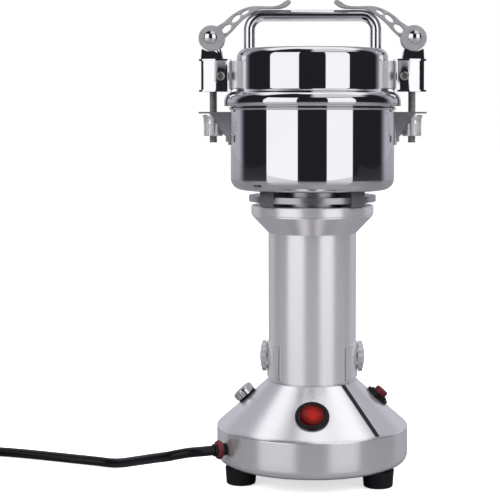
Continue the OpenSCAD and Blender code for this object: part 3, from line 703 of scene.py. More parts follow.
@dataclass(frozen=True)
class LitLens(Finish):
    """Clear tinted plastic over a lamp: glossy, with a glow that fades towards the rim."""

    glow: float = 0.6
    centre: tuple[float, float, float] = (0, 0, 0)
    reach: float = 0.008

    def detail(self, n: Nodes, shader: bpy.types.Node, coords: bpy.types.NodeSocket) -> None:
        """The glow falls off with the distance from the lamp behind the lens."""
        shader.inputs["Coat Weight"].default_value = 0.03
        shader.inputs["Coat Roughness"].default_value = 0.06
        shader.inputs["Specular IOR Level"].default_value = 0.12
        shader.inputs["Emission Strength"].default_value = self.glow
        away = n.add("ShaderNodeVectorMath", operation="DISTANCE")
        n.feed(away.inputs[0], coords)
        away.inputs[1].default_value = self.centre
        near = n.ramp(away.outputs["Value"], self.reach, self.reach * 0.2)
        cloud = n.noise(coords, 420.0, 2, 0.5)
        near = n.math("MULTIPLY", near, n.ramp(cloud, 0.2, 0.8, (0.75, 1.0)))
        deep = tuple(c * 0.45 for c in self.colour)
        n.feed(shader.inputs["Base Color"], n.mix(near, (*deep, 1), (*self.colour, 1)))
        n.feed(shader.inputs["Emission Color"], n.mix(near, (0.1, 0, 0, 1), (1, 0.03, 0.01, 1)))


@dataclass(frozen=True)
class Stacked(Finish):
    """Laminations or windings: fine bands along an axis, with grooves between them that carry painted
    shade.
    """

    pitch: float = 0.0005
    axis: int = 2
    depth: float = 0.0001
    metallic: float = 0.9

    def detail(self, n: Nodes, shader: bpy.types.Node, coords: bpy.types.NodeSocket) -> None:
        """The height is the sine of the place along the axis over the pitch."""
        shader.inputs["Metallic"].default_value = self.metallic
        place = n.split(coords)[self.axis]
        wave = n.math("SINE", n.math("MULTIPLY", place, 2 * math.pi / self.pitch))
        # Painted shade: the grooves between the bands are painted darker, down to 0.35 of the colour.
        mask = n.ramp(wave, -0.9, -0.2)
        dark = tuple(c * 0.35 for c in self.colour)
        n.feed(shader.inputs["Base Color"], n.mix(mask, (*dark, 1), (*self.colour, 1)))
        cloud = n.ramp(n.noise(coords, 200.0), 0.3, 0.8, (self.roughness, self.roughness + 0.15))
        n.feed(shader.inputs["Roughness"], cloud)
        self.bump(n, shader, wave, self.depth)


@dataclass(frozen=True)
class ThreadedRod(Finish):
    """Rolled thread on an upright rod, with painted shade in its roots."""

    pitch: float = 0.0008
    depth: float = 0.0003

    def detail(self, n: Nodes, shader: bpy.types.Node, coords: bpy.types.NodeSocket) -> None:
        """The height is the sine of the place up the rod over the pitch."""
        shader.inputs["Metallic"].default_value = 0.85
        wave = n.math("SINE", n.math("MULTIPLY", n.split(coords)[2], 2 * math.pi / self.pitch))
        # Painted shade: the base colour drops to 0.3 of the colour in the thread roots, where shade
        # falls.
        root = tuple(c * 0.3 for c in self.colour)
        crest = n.ramp(wave, -0.8, 0.2)
        n.feed(shader.inputs["Base Color"], n.mix(crest, (*root, 1), (*self.colour, 1)))
        self.wear(n, shader, self.roughness, coords, 120.0, 0.2)
        self.bump(n, shader, wave, self.depth)


class Palette:
    """Every finish of the mill, by what it is."""

    STEEL = MirrorMetal("polished_steel", (0.77, 0.765, 0.785), 0.03, hairlines=0.015, marks=0.04)
    CHROME = MirrorMetal(
        "chrome_plate", (0.84, 0.84, 0.86), 0.06, lay=Lay.ANY, fine=700.0, hairlines=0.03
    )
    SPUN = BrushedMetal(
        "spun_cone", (0.83, 0.825, 0.85), 0.21, depth=0.000008, marks=0.012, metallic=0.86
    )
    TUBE = BrushedMetal(
        "satin_tube",
        (0.80, 0.79, 0.815),
        0.25,
        lay=Lay.UPRIGHT,
        fine=4200.0,
        depth=0.000008,
        marks=0.012,
        metallic=0.74,
    )
    SADDLE = BrushedMetal(
        "satin_saddle", (0.82, 0.81, 0.83), 0.3, lay=Lay.UPRIGHT, fine=3600.0, metallic=0.6
    )
    BRACKET = BrushedMetal(
        "pressed_bracket", (0.5, 0.49, 0.53), 0.26, lay=Lay.ALONG_X, fine=3000.0, metallic=0.85
    )
    NUT = BrushedMetal("nickel_nut", (0.84, 0.84, 0.85), 0.2, lay=Lay.UPRIGHT, metallic=0.8)
    ROD = ThreadedRod("threaded_rod", (0.7, 0.67, 0.66), 0.36)
    LEVER = CastMetal("tumbled_lever", (0.62, 0.62, 0.64), 0.36, metallic=0.75)
    CAST = CastMetal(
        "cast_alloy", (0.70, 0.70, 0.71), 0.32, size=1700.0, depth=0.00002, metallic=0.7
    )
    CAP = BrushedMetal(
        "satin_cap", (0.6, 0.6, 0.61), 0.34, lay=Lay.ANY, fine=2600.0, metallic=0.6
    )
    FIN = BrushedMetal("turned_fin", (0.5, 0.5, 0.52), 0.24, lay=Lay.AROUND, metallic=0.95)
    PILLAR = CastMetal("dark_pillar", (0.15, 0.145, 0.16), 0.45, metallic=0.5)
    BRIGHT = BrushedMetal("bright_steel", (0.68, 0.67, 0.65), 0.22, lay=Lay.AROUND, fine=3000.0)
    BLADE = BrushedMetal("ground_blade", (0.72, 0.72, 0.73), 0.24, lay=Lay.ALONG_X, fine=3600.0)
    ZINC = CastMetal("zinc_plate", (0.52, 0.52, 0.5), 0.3, size=900.0, depth=0.000015)
    BLACK = Moulded("black_plastic", (0.004, 0.0036, 0.004), 0.34)
    RUBBER = Moulded("black_rubber", (0.006, 0.0056, 0.008), 0.55, size=1100.0, depth=0.00006)
    PVC = Moulded("lead_pvc", (0.003, 0.003, 0.004), 0.28, size=900.0, depth=0.00002)
    SEAM = Moulded("seam_black", (0.008, 0.008, 0.01), 0.4)
    COLLAR = Moulded("collar_red", (0.1, 0.016, 0.019), 0.5, depth=0.00004)
    RED = Moulded("red_plastic", (0.09, 0.01, 0.018), 0.3, depth=0.00002, coat=0.1)
    BRASS = BrushedMetal("brass", (0.78, 0.56, 0.26), 0.25, lay=Lay.ANY, fine=2400.0)
    COPPER = Stacked("copper_wire", (0.75, 0.33, 0.16), 0.34, pitch=0.0007, metallic=1.0)
    CORE = Stacked("laminations", (0.34, 0.34, 0.36), 0.42)
    SEGMENTS = BrushedMetal("commutator_copper", (0.78, 0.4, 0.22), 0.26, lay=Lay.UPRIGHT)
    MARK = Moulded("pale_mark", (0.1, 0.02, 0.02), 0.4, depth=0.00002)
    BAR = MirrorMetal(
        "polished_bar", (0.84, 0.84, 0.86), 0.08, lay=Lay.ALONG_X, fine=1500.0, hairlines=0.05
    )
    CARBON = Moulded("carbon", (0.035, 0.035, 0.037), 0.55, size=2600.0)
    SILICONE = Moulded("silicone", (0.78, 0.78, 0.76), 0.45, size=500.0, depth=0.00002)


def dress(obj: bpy.types.Object, finish: Finish) -> bpy.types.Object:
    """Gives a piece one finish in all its material slots."""
    mat = finish.material()
    if not obj.material_slots:
        obj.data.materials.append(mat)
    for slot in obj.material_slots:
        slot.material = mat
    return obj


@dataclass
class Assembly:
    """What each sub-assembly has: the frame, and the CAD nodes that it only gives a finish."""

    frame: dict
    made: list[str] = field(default_factory=list, init=False)

    def finish_nodes(self, finishes: dict[str, Finish]) -> None:
        """Gives CAD nodes their finishes, by node name."""
        for name, finish in finishes.items():
            dress(self.frame["nodes"][name], finish)
            self.made.append(name)

    def add(
        self,
        obj: bpy.types.Object,
        body: str,
        finish: Finish,
        slot: str,
        replaces: Sequence[str] = (),
    ) -> bpy.types.Object:
        """Dresses a new piece, and says what it rides on and stands for.

        Args:
            obj: The piece.
            body: CAD body that it moves with.
            finish: Its material.
            slot: Material slot of the record. Not used.
            replaces: CAD nodes that it stands for.

        Returns:
            The piece.
        """
        dress(obj, finish)
        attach(obj, body)
        if replaces:
            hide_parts(*replaces)
        self.made.append(obj.name)
        return obj

    def ease_nodes(
        self, body: str, slot: str, radius: float, finishes: dict[str, Finish]
    ) -> None:
        """Stands a rounded copy in for each CAD node.

        Args:
            body: CAD body that they move with.
            slot: Material slot of the record, passed to add, which does not use it.
            radius: Rounding of their edges, in millimetres.
            finishes: The finish of each node, by its name.
        """
        for name, finish in finishes.items():
            copy = eased(self.frame["nodes"][name], f"{name}_eased", radius)
            self.add(copy, body, finish, slot, (name,))

    def report(self) -> None:
        """Logs each piece of the sub-assembly."""
        for name in self.made:
            log.info("%s: %s", type(self).__name__, name)


# ---------------------------------------------------------------- studio


@dataclass
class Studio:
    """Camera, pale floor, and soft light from two upright panels, a top light and a backdrop."""

    eye: tuple[float, float, float] = (-0.0012, -1.0066, 0.251)
    tilt_down: float = 2.6
    pan_left: float = 1.2
    lens: float = 104.55
    shift: tuple[float, float] = (-0.0604, -0.1365)
    left_panel: tuple[float, float] = (-66.5, -20.2)
    right_panel: tuple[float, float] = (19.8, 57.5)
    panel_top: float = 34.0
    panel_light: float = 1.16
    backdrop_light: float = 0.52
    dim_light: float = 0.34
    high_light: float = 1.1
    front_light: float = 0.78
    room_light: float = 0.022
    floor_box: tuple[float, float, float, float] = (-6.0, 6.0, -2.3, 9.0)
    floor_lift: float = 0.66
    top_watts: float = 7.0
    fill_watts: float = 32.0

    def build(self) -> None:
        """Makes the camera, the world, the floor and the lights."""
        self.camera()
        self.world()
        self.floor()
        self.soft_lights()
        bpy.context.scene.view_settings.view_transform = "Standard"

    def camera(self) -> None:
        """Looks at the mill from the front, nearly level."""
        data = bpy.data.cameras.new("camera")
        data.lens = self.lens
        data.sensor_width = 36
        data.shift_x, data.shift_y = self.shift
        cam = bpy.data.objects.new("camera", data)
        cam.location = self.eye
        cam.rotation_euler = (math.radians(90 - self.tilt_down), 0, math.radians(self.pan_left))
        bpy.context.scene.collection.objects.link(cam)
        bpy.context.scene.camera = cam

    def world(self) -> None:
        """Light from all round, as a function of azimuth a from the camera's side and height e.

        Two white panels stand in a dark room in front. Behind is a backdrop that fades with
        height. High up it is bright from the sides round to the back, softer in front on the
        right, and dark in front on the left, up to a lamp at the zenith. What the camera sees
        itself is white.
        """
        world = bpy.data.worlds.new("studio")
        world.use_nodes = True
        bpy.context.scene.world = world
        n = Nodes(world.node_tree)
        x, y, z = n.split(n.add("ShaderNodeTexCoord").outputs["Generated"])
        turn = n.math("ARCTAN2", x, n.math("MULTIPLY", y, -1.0))
        a = n.math("MULTIPLY", turn, 180 / math.pi)
        away = n.math("ABSOLUTE", a)
        e = n.math("MULTIPLY", n.math("ARCSINE", z), 180 / math.pi)

        def zone(level: float, *ramps: bpy.types.NodeSocket) -> bpy.types.NodeSocket:
            """Light level times the ramps that bound its zone."""
            for ramp in ramps:
                level = n.math("MULTIPLY", level, ramp)
            return level

        top_edge = n.ramp(e, self.panel_top + 2, self.panel_top)
        front = n.ramp(away, 96.0, 82.0)
        side = n.ramp(away, 82.0, 96.0)
        rear = n.ramp(away, 108.0, 126.0)
        below_top = n.ramp(e, 82.0, 76.0)
        zones = [
            zone(
                self.panel_light,
                n.ramp(a, start - 0.5, start + 0.5),
                n.ramp(a, end + 0.5, end - 0.5),
                top_edge,
            )
            for start, end in (self.left_panel, self.right_panel)
        ]
        zones += [
            zone(self.backdrop_light, rear, n.ramp(e, 30.0, 18.0)),
            zone(self.dim_light, rear, n.ramp(e, 18.0, 30.0), n.ramp(e, 56.0, 44.0)),
            zone(self.high_light, side, n.ramp(e, 44.0, 56.0), below_top),
            zone(
                self.front_light, front, n.ramp(a, -6.0, 6.0), n.ramp(e, 36.0, 44.0), below_top
            ),
            zone(self.high_light, n.ramp(e, 76.0, 82.0)),
        ]
        light = self.room_light
        for part in zones:
            light = n.math("ADD", light, part)
        seen = n.add("ShaderNodeLightPath").outputs["Is Camera Ray"]
        tint = n.mix(n.math("MINIMUM", light, 1.0), (0.82, 0.80, 1.0, 1), (1.0, 0.99, 1.0, 1))
        shown = n.math("MAXIMUM", seen, n.math("MULTIPLY", light, n.math("SUBTRACT", 1.0, seen)))
        background = world.node_tree.nodes["Background"]
        n.feed(background.inputs["Color"], n.mix(seen, tint, (1, 1, 1, 1)))
        n.feed(background.inputs["Strength"], shown)

    def floor(self) -> None:
        """Glossy pale floor. To the camera it is nearly white, and steel mirrors it as grey."""
        x0, x1, y0, y1 = self.floor_box
        plate = new_mesh(
            "floor", np.array([[x0, y0, 0], [x1, y0, 0], [x1, y1, 0], [x0, y1, 0]]), [(0, 1, 2, 3)]
        )
        plate.data.transform(Matrix.Translation((0, 0, -0.0002)))
        mat = bpy.data.materials.new("pale_floor")
        mat.use_nodes = True
        n = Nodes(mat.node_tree)
        shader = mat.node_tree.nodes["Principled BSDF"]
        seen = n.add("ShaderNodeLightPath").outputs["Is Camera Ray"]
        cloud = n.noise(n.add("ShaderNodeTexCoord").outputs["Object"], 3.0, 2)
        pale = n.mix(cloud, (0.93, 0.93, 0.935, 1), (0.95, 0.95, 0.955, 1))
        n.feed(shader.inputs["Base Color"], n.mix(seen, (0.2, 0.2, 0.21, 1), pale))
        n.feed(shader.inputs["Roughness"], n.math("ADD", 0.06, n.math("MULTIPLY", seen, 0.44)))
        shader.inputs["IOR"].default_value = 1.8
        shader.inputs["Emission Color"].default_value = (1, 1, 1, 1)
        n.feed(shader.inputs["Emission Strength"], n.math("MULTIPLY", seen, self.floor_lift))
        plate.data.materials.append(mat)

    def soft_lights(self) -> None:
        """Large soft lights that steel doesn't mirror, for satin metal, plastics and the floor."""
        for name, place, watts in (
            ("top_light", (0.0, -0.9, 1.7), self.top_watts),
            ("left_fill", (-1.25, -0.75, 1.0), self.fill_watts),
            ("right_fill", (1.25, -0.75, 1.0), self.fill_watts),
        ):
            data = bpy.data.lights.new(name, "AREA")
            data.size = 1.2
            data.energy = watts
            lamp = bpy.data.objects.new(name, data)
            lamp.location = place
            aim = Vector((0, 0, 0.1)) - lamp.location
            lamp.rotation_euler = aim.to_track_quat("-Z", "Y").to_euler()
            lamp.visible_glossy = False
            bpy.context.scene.collection.objects.link(lamp)


# ---------------------------------------------------------------- mains lead


@dataclass
class MainsLead(Assembly):
    """The lead, from its gland along the floor into a storage coil, and its plug."""

    radius: float = 0.0034
    layer_z: float = 0.0035
    pitch: float = 0.0069
    coil_centre: tuple[float, float] = (-0.280, 0.0106)
    outer_r: float = 0.0429
    turn_points: int = 40
    tail: float = 0.024
    length: float = 1.42
    tie_half: tuple[float, float] = (0.0128, 0.0078)
    tie_corner: float = 0.0046
    tie_reach: float = 0.0364
    tie_half_width: float = 0.0022
    tie_thick: float = 0.0005
    tie_gap: float = 0.00015
    route: tuple[tuple[float, float, float], ...] = (
        (-0.0667, -0.0351, 0.025),
        (-0.0745, -0.0378, 0.0248),
        (-0.0828, -0.0382, 0.0241),
        (-0.0908, -0.0361, 0.0223),
        (-0.0978, -0.0317, 0.0199),
        (-0.107, -0.0222, 0.0165),
        (-0.1165, -0.0115, 0.0127),
        (-0.126, -0.0008, 0.0089),
        (-0.135, 0.009, 0.0055),
        (-0.1435, 0.0165, 0.0037),
        (-0.153, 0.0215, 0.0035),
        (-0.163, 0.0255, 0.0035),
        (-0.173, 0.0294, 0.0035),
        (-0.190, 0.0362, 0.0035),
        (-0.208, 0.0430, 0.0035),
        (-0.226, 0.0488, 0.0035),
        (-0.244, 0.0524, 0.0035),
        (-0.260, 0.0535, 0.0035),
        (-0.272, 0.0535, 0.0035),
        (-0.280, 0.0535, 0.0035),
    )

    def build(self) -> None:
        """Makes the lead and its tie, and gives the CAD pieces on it their finishes."""
        path = self.path()
        flex = self.curve(path)
        self.add(flex, "frame", Palette.PVC, "lead_pvc", ("mains_lead", "lead_coil"))
        tie = self.add(self.tie(), "frame", Palette.BLACK, "black_plastic")
        self.finish_nodes(
            {
                "mains_plug": Palette.BLACK,
                "plug_pins": Palette.BRASS,
                "cord_gland": Palette.BLACK,
                "cord_collar": Palette.COLLAR,
            }
        )

    def path(self) -> np.ndarray:
        """Centre line: the route, the coil's turns, and a straight tail into the plug."""
        laid = smooth(self.route, 6)
        return np.concatenate([laid[:-1], self.coil(), self.tail_points()])

    def coil(self) -> np.ndarray:
        """The coil's turns, as radius and height over the angle.

        The lower layer winds inwards by one pitch a turn. Its third turn climbs: it stays one
        pitch from the turn outside it, as the cosine and sine of a quarter circle. The upper
        layer then winds outwards by one pitch a turn.
        """
        n = self.turn_points
        s = np.arange(1, n + 1) / n
        quarter = s * math.pi / 2
        inward = np.arange(0, 2 * n + 1) / n
        outward = np.arange(1, round(2.25 * n) + 1) / n
        inner = self.outer_r - 2 * self.pitch
        r = np.concatenate(
            [
                self.outer_r - self.pitch * inward,
                inner + self.pitch - self.pitch * s - self.pitch * np.cos(quarter),
                inner + self.pitch * outward,
            ]
        )
        z = self.layer_z + self.pitch * np.concatenate(
            [np.zeros(len(inward)), np.sin(quarter), np.ones(len(outward))]
        )
        a = math.pi / 2 + 2 * math.pi * np.arange(len(r)) / n
        cx, cy = self.coil_centre
        return np.stack([cx + r * np.cos(a), cy + r * np.sin(a), z], axis=1)

    def tail_points(self) -> np.ndarray:
        """Straight end of the lead, from the last turn towards the front."""
        last = self.coil()[-1]
        end = last + np.array([0, -self.tail, 0.0006])
        return line(last, end, 6)[1:]

    def curve(self, path: np.ndarray) -> bpy.types.Object:
        """Round cord along the centre line, with closed ends."""
        data = bpy.data.curves.new("mains_flex", "CURVE")
        data.dimensions = "3D"
        spline = data.splines.new("POLY")
        spline.points.add(len(path) - 1)
        spline.points.foreach_set("co", np.c_[path, np.ones(len(path))].ravel())
        data.bevel_depth = self.radius
        data.bevel_resolution = 5
        data.use_fill_caps = True
        obj = bpy.data.objects.new("mains_flex", data)
        bpy.context.scene.collection.objects.link(obj)
        return obj

    def tie(self) -> bpy.types.Object:
        """Twist tie round the coil's bundle: a flat band whose section is carried round a
        rounded rectangle with half width w, half height h and corner radius c."""
        cx, cy = self.coil_centre
        (w, h), c = self.tie_half, self.tie_corner
        corners = [
            arc(sx * (w - c), sz * (h - c), c, a0, a0 + 90, 8)
            for sx, sz, a0 in ((1, 1, 0), (-1, 1, 90), (-1, -1, 180), (1, -1, 270))
        ]
        loop = np.concatenate(corners)
        inner = loop * (1 - self.tie_thick / h)
        half, base = self.tie_half_width, h + self.tie_gap
        section = [(loop, -half), (loop, half), (inner, half), (inner, -half)]
        rows = [
            np.c_[cx + self.tie_reach + q[:, 0], np.full(len(q), cy + y), q[:, 1] + base]
            for q, y in section
        ]
        verts = np.stack(rows)
        faces = grid_faces(4, len(loop), True, True)
        return keep_corners_sharp(
            with_outward_normals(new_mesh("coil_tie", verts.reshape(-1, 3), faces))
        )


# ---------------------------------------------------------------- base


@dataclass
class Base(Assembly):
    """Drum with its cone, feet, seam, switch, fuse, breaker and lead exit."""

    radius: float = 66.35
    bottom: float = 11.4
    shoulder: float = 36.7
    top: float = 68.4
    neck_r: float = 30.5
    lip_r: float = 26.0
    wall: float = 1.6
    corner_r: float = 6.5
    switch_place: float = 50.0
    pivot_rise: float = 0.6
    rocker_tilt: float = 8.0
    lens_r: float = 8.3
    lamp_place: float = 0.2
    seam_azimuth: float = -48.0
    seam_width: float = 3.8
    seam_rise: float = 0.16
    mark_z: tuple[float, float] = (-0.2, 0.12)
    mark_out: float = 4.3

    def build(self) -> None:
        """Makes the shell and the rocker's marks, and gives the other parts their finishes."""
        self.add(self.shell(), "frame", Palette.SPUN, "satin_silver", ("base_shell",))
        self.add(self.seam(), "frame", Palette.SEAM, "seam_black", ("seam_strip",))
        nodes = self.frame["nodes"]
        self.finish_nodes(
            {
                "base_plate": Palette.ZINC,
                "base_screws": Palette.ZINC,
                "rubber_feet": Palette.RUBBER,
                "switch_housing": Palette.BLACK,
                "fuse_holder": Palette.BLACK,
                "fuse_cap": Palette.CHROME,
                "breaker_body": Palette.BLACK,
                "reset_button": Palette.RED,
            }
        )
        centre = self.on_cone(-90, self.switch_place) @ Vector((0, 0, self.lens_r * MM * self.lamp_place))
        lens = LitLens("rocker_lens", (0.05, 0.0004, 0.0004), 0.12, glow=0.38, centre=tuple(centre))
        dress(nodes["rocker_button"], lens)
        self.made.append("rocker_button")
        for mark in (self.off_mark(), self.on_mark()):
            self.add(mark, "rocker", Palette.MARK, "red_lens")

    @property
    def slope(self) -> float:
        """Angle between the cone's outward normal and the vertical, in radians."""
        return math.atan2(self.top - self.shoulder, self.radius - self.neck_r)

    def shell(self) -> bpy.types.Object:
        """Drum and cone of sheet metal, turned from one profile and open at both ends."""
        c, r, w = self.radius - self.corner_r, self.corner_r, self.wall
        rise = w / math.cos(self.slope)
        profile = joined(
            arc(c, self.bottom + r, r, -90, 0, 14),
            line((self.radius, self.bottom + r), (self.radius, self.shoulder - 0.5), 4),
            arc(self.radius - 0.9, self.shoulder - 0.55, 0.9, 0, 40, 4),
            line((self.radius - 0.6, self.shoulder + 0.55), (self.neck_r + 1.1, self.top - 0.97), 24),
            [(self.neck_r + 0.9, self.top - 1.3), (self.neck_r - 0.3, self.top - 1.3)],
            [(self.neck_r - 0.3, self.top), (self.lip_r, self.top), (self.lip_r, self.top - w - 0.4)],
            [(self.neck_r + w, self.top - w - rise * 0.7)],
            [(self.radius - w, self.shoulder - rise + w * 0.9)],
            arc(c, self.bottom + r, r - w, 0, -90, 8),
        )
        return keep_corners_sharp(with_outward_normals(lathe("base_drum", profile, 256)), 38)

    def on_cone(self, azimuth: float, place: float) -> Matrix:
        """Place on the cone at a radius: X down the slope, Z along the outward normal."""
        z = self.top - (place - self.neck_r) * math.tan(self.slope)
        return (
            Matrix.Rotation(math.radians(azimuth), 4, "Z")
            @ Matrix.Translation((place * MM, 0, z * MM))
            @ Matrix.Rotation(self.slope, 4, "Y")
        )

    def seam(self) -> bpy.types.Object:
        """Strip down the cone: a low round-edged section carried straight down the slope."""
        half, rise = self.seam_width / 2, self.seam_rise
        section = joined(
            [(-half, -0.8), (half, -0.8)],
            arc(half - rise, 0, rise, 0, 90, 4),
            arc(-half + rise, 0, rise, 90, 180, 4),
        )
        run = (self.radius - 1.2 - self.neck_r - 1) / math.cos(self.slope)
        x = np.linspace(0, run, 24)
        rings = np.stack([np.c_[np.full(len(section), at), section] for at in x])
        strip = capped("cone_seam", rings * MM)
        return placed(keep_corners_sharp(strip, 50), self.on_cone(self.seam_azimuth, self.neck_r + 1))

    def on_rocker(self, sideways: float) -> Matrix:
        """Place on the rocker's face, at a distance to the right of its middle.

        The face is two flats that rise from 1.9 mm at the middle to 2.9 mm at 9 mm.
        """
        flat = math.copysign(math.atan(1 / 9), sideways)
        return (
            self.on_cone(-90, self.switch_place)
            @ Matrix.Translation((0, 0, self.pivot_rise * MM))
            @ Matrix.Rotation(math.radians(90), 4, "Z")
            @ Matrix.Rotation(math.radians(self.rocker_tilt), 4, "Y")
            @ Matrix.Translation((sideways * MM, 0, (1.9 + abs(sideways) / 9) * MM))
            @ Matrix.Rotation(-flat, 4, "Y")
        )

    def off_mark(self) -> bpy.types.Object:
        """Raised ring on the half of the rocker that switches off."""
        low, high = self.mark_z
        section = np.array([[1.9, low], [1.9, high], [1.45, high], [1.45, low]])
        ring = with_outward_normals(lathe("rocker_off_mark", section, 48))
        return placed(keep_corners_sharp(ring), self.on_rocker(-self.mark_out))

    def on_mark(self) -> bpy.types.Object:
        """Raised bar on the half of the rocker that switches on."""
        flat = np.concatenate([arc(1.7, 0, 0.26, -90, 90, 8), arc(-1.7, 0, 0.26, 90, 270, 8)]) * MM
        rings = np.stack([np.c_[flat, np.full(len(flat), h * MM)] for h in self.mark_z])
        bar = capped("rocker_on_mark", rings)
        return placed(keep_corners_sharp(bar), self.on_rocker(self.mark_out))


# ---------------------------------------------------------------- motor


@dataclass
class Motor(Assembly):
    """Tube with its flared rim, brush gear, and the rotor inside."""

    def build(self) -> None:
        """Gives each part of the motor its finish."""
        self.ease_nodes(
            "frame",
            "cast_satin",
            0.35,
            {
                "brush_cap_left": Palette.CAP,
                "brush_cap_right": Palette.CAP,
                "fin_disc": Palette.FIN,
            },
        )
        self.ease_nodes("frame", "dark_steel", 0.5, {"mount_pillars": Palette.PILLAR})
        self.finish_nodes(
            {
                "motor_housing": Palette.TUBE,
                "bearing_plate": Palette.CAST,
                "brush_holders": Palette.BRASS,
                "carbon_brushes": Palette.CARBON,
                "ball_bearings": Palette.BRIGHT,
                "rotor_shaft": Palette.BRIGHT,
                "armature_core": Palette.CORE,
                "stator_core": Palette.CORE,
                "armature_windings": Palette.COPPER,
                "field_coils": Palette.COPPER,
                "commutator": Palette.SEGMENTS,
                "cooling_fan": Palette.BLACK,
                "cooling_hub": Palette.CAST,
            }
        )


# ---------------------------------------------------------------- bowl


@dataclass
class Bowl(Assembly):
    """Grinding bowl with its brackets, screws, seal and blades."""

    radius: float = 56.6
    floor: float = 200.0
    mouth: float = 264.3
    bead_z: float = 256.1
    sheet: float = 1.5
    corner_r: float = 8.0
    seal_r: float = 9.0

    def build(self) -> None:
        """Makes the bowl, and gives its parts their finishes."""
        self.ease_nodes(
            "frame",
            "chrome_plate",
            0.25,
            {"bowl_bracket_left": Palette.BRACKET, "bowl_bracket_right": Palette.BRACKET},
        )
        self.add(self.shell(), "frame", Palette.STEEL, "polished_steel", ("bowl",))
        self.finish_nodes(
            {
                "bracket_rivets": Palette.BRIGHT,
                "bowl_screws": Palette.ZINC,
                "shaft_seal": Palette.SILICONE,
                "blade_spacers": Palette.BRIGHT,
                "lower_blade": Palette.BLADE,
                "upper_blade": Palette.BLADE,
                "blade_nut": Palette.ZINC,
            }
        )

    def shell(self) -> bpy.types.Object:
        """Drawn cup with a rolled bead under its mouth and a hole for the seal."""
        c, r, t = self.radius - self.corner_r, self.corner_r, self.sheet
        profile = joined(
            line((self.seal_r, self.floor), (c, self.floor), 6),
            arc(c, self.floor + r, r, -90, 0, 16),
            line((self.radius, self.floor + r), (self.radius, self.bead_z - 1.1), 12),
            arc(self.radius, self.bead_z, 1.1, -90, 90, 12),
            [(self.radius, self.mouth - 0.3), (self.radius - 0.3, self.mouth)],
            [(self.radius - t + 0.3, self.mouth), (self.radius - t, self.mouth - 0.3)],
            arc(c, self.floor + r, r - t, 0, -90, 12),
            [(self.seal_r, self.floor + t)],
        )
        return keep_corners_sharp(with_outward_normals(lathe("bowl_shell", profile, 256)), 50)


# ---------------------------------------------------------------- lid


@dataclass
class Lid(Assembly):
    """Domed lid with its stepped skirt, gasket and carrying handle."""

    radius: float = 52.2
    top: float = 297.0
    ledge: float = 267.7
    skirt_edge: float = 257.7
    skirt_r: float = 61.1
    skirt_corner_r: float = 7.1
    corner_r: float = 6.0
    fillet_r: float = 1.8
    sheet: float = 1.5
    bar_r: float = 3.9
    bar_half_span: float = 43.6
    bar_z: float = 320.1
    bend_r: float = 10.0

    def build(self) -> None:
        """Makes the lid and its handle, and gives the gasket its finish."""
        self.add(self.shell(), "lid", Palette.STEEL, "polished_steel", ("lid_shell",))
        self.add(self.handle(), "lid", Palette.BAR, "chrome_plate", ("bail_handle",))
        for weld in self.welds():
            self.add(weld, "lid", Palette.BAR, "chrome_plate")
        self.finish_nodes({"lid_gasket": Palette.SILICONE})

    def shell(self) -> bpy.types.Object:
        """Stepped lid, turned from one profile that ends on the axis inside and outside."""
        t, kc = self.sheet, self.skirt_corner_r
        c, s = self.radius - self.corner_r, self.skirt_r - kc
        top_c, low_c = self.top - self.corner_r, self.ledge - kc
        profile = joined(
            line((0, self.top), (c, self.top), 8),
            arc(c, top_c, self.corner_r, 90, 0, 16),
            line((self.radius, top_c), (self.radius, self.ledge + self.fillet_r), 8),
            arc(self.radius + self.fillet_r, self.ledge + self.fillet_r, self.fillet_r, 180, 270, 10),
            arc(s, low_c, kc, 90, 0, 16),
            [(self.skirt_r, self.skirt_edge + 0.3), (self.skirt_r - 0.3, self.skirt_edge)],
            [(self.skirt_r - t + 0.3, self.skirt_edge), (self.skirt_r - t, self.skirt_edge + 0.3)],
            arc(s, low_c, kc - t, 0, 90, 10),
            [(self.radius - t, self.ledge - t)],
            arc(c, top_c, self.corner_r - t, 0, 90, 10),
            [(0, self.top - t)],
        )
        return keep_corners_sharp(with_outward_normals(lathe("lid_dome", profile, 256)), 50)

    def handle_path(self) -> np.ndarray:
        """Centre line of the bar: up one leg, across, and down the other leg."""
        x, b, z = self.bar_half_span, self.bend_r, self.bar_z
        half = joined(
            line((x, self.top - 0.6), (x, z - b), 6), arc(x - b, z - b, b, 0, 90, 18)
        )
        flat = joined(half, half[::-1] * (-1, 1))
        return np.stack([flat[:, 0], np.zeros(len(flat)), flat[:, 1]], axis=1) * MM

    def handle(self) -> bpy.types.Object:
        """Round bar bent to a flat-topped bow."""
        return keep_corners_sharp(
            tube("handle_bar", self.handle_path(), self.bar_r * MM, (0, 1, 0), 48)
        )

    def welds(self) -> list[bpy.types.Object]:
        """Small fillet at the foot of each leg: a ring whose section is a hollow curve."""
        r = self.bar_r
        section = joined(
            [(r - 0.6, -0.4), (r + 0.85, -0.4), (r + 0.85, 0.05)],
            arc(r + 0.85, 0.9, 0.85, 270, 180, 6),
            [(r - 0.6, 0.9)],
        )
        return [
            placed(
                keep_corners_sharp(
                    with_outward_normals(lathe(f"handle_weld_{side}", section, 48)), 60
                ),
                Matrix.Translation((x * MM, 0, self.top * MM)),
            )
            for side, x in (("left", -self.bar_half_span), ("right", self.bar_half_span))
        ]


# ---------------------------------------------------------------- latches


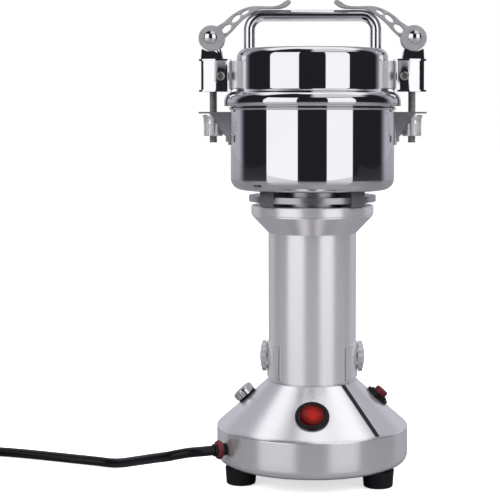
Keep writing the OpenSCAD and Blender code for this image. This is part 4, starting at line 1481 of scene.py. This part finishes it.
@dataclass
class Latches(Assembly):
    """Two cam-lever latches: saddle, box, seat, cross pin, lever, eye bolt and thumb nut."""

    pin_x: float = 70.1
    pin_z: float = 305.0
    pin_r: float = 4.3
    pin_half: float = 7.6

    def build(self) -> None:
        """Makes the cross pins, and gives the other parts their finishes."""
        for side, sign in (("left", -1), ("right", 1)):
            pin = self.cross_pin(side, sign)
            name = f"cross_pin_{side}"
            self.add(pin, f"pin_{side}", Palette.CHROME, "chrome_plate", (name,))
            self.ease_nodes(
                f"lever_{side}", "cast_satin", 0.5, {f"cam_lever_{side}": Palette.LEVER}
            )
            self.ease_nodes(f"nut_{side}", "chrome_plate", 0.2, {f"thumb_nut_{side}": Palette.NUT})
            self.finish_nodes({f"eye_bolt_{side}": Palette.ROD})
        self.ease_nodes("lid", "chrome_plate", 0.3, {"latch_saddles": Palette.SADDLE})
        self.ease_nodes("lid", "chrome_plate", 0.25, {"latch_boxes": Palette.CHROME})
        self.ease_nodes("lid", "chrome_plate", 0.4, {"cam_seats": Palette.CHROME})
        self.finish_nodes({"latch_screws": Palette.ZINC})

    def cross_pin(self, side: str, sign: int) -> bpy.types.Object:
        """Pin with a domed head at the front: a profile turned about the Y axis."""
        r, half = self.pin_r, self.pin_half
        dome = arc(0, half - 5.6 - 0.2, 7.2, 53.4, 90, 10)
        profile = joined(
            [(0, -half), (r - 0.3, -half), (r, -half + 0.3), (r, half - 0.3)],
            dome,
        )
        profile[-1, 0] = 0.0
        pin = with_outward_normals(lathe(f"latch_pin_{side}", profile, 64))
        turn = Matrix.Translation((sign * self.pin_x * MM, 0, self.pin_z * MM)) @ Matrix.Rotation(
            math.radians(90), 4, "X"
        )
        return placed(keep_corners_sharp(pin, 45), turn)


# ---------------------------------------------------------------- all of it


def main() -> None:
    """Builds the studio, the lead and each sub-assembly."""
    logging.basicConfig(level=logging.INFO, format="%(message)s")
    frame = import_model()
    Studio().build()
    for kind in (MainsLead, Base, Motor, Bowl, Lid, Latches):
        part = kind(frame)
        part.build()
        part.report()


if __name__ == "__main__":
    main()
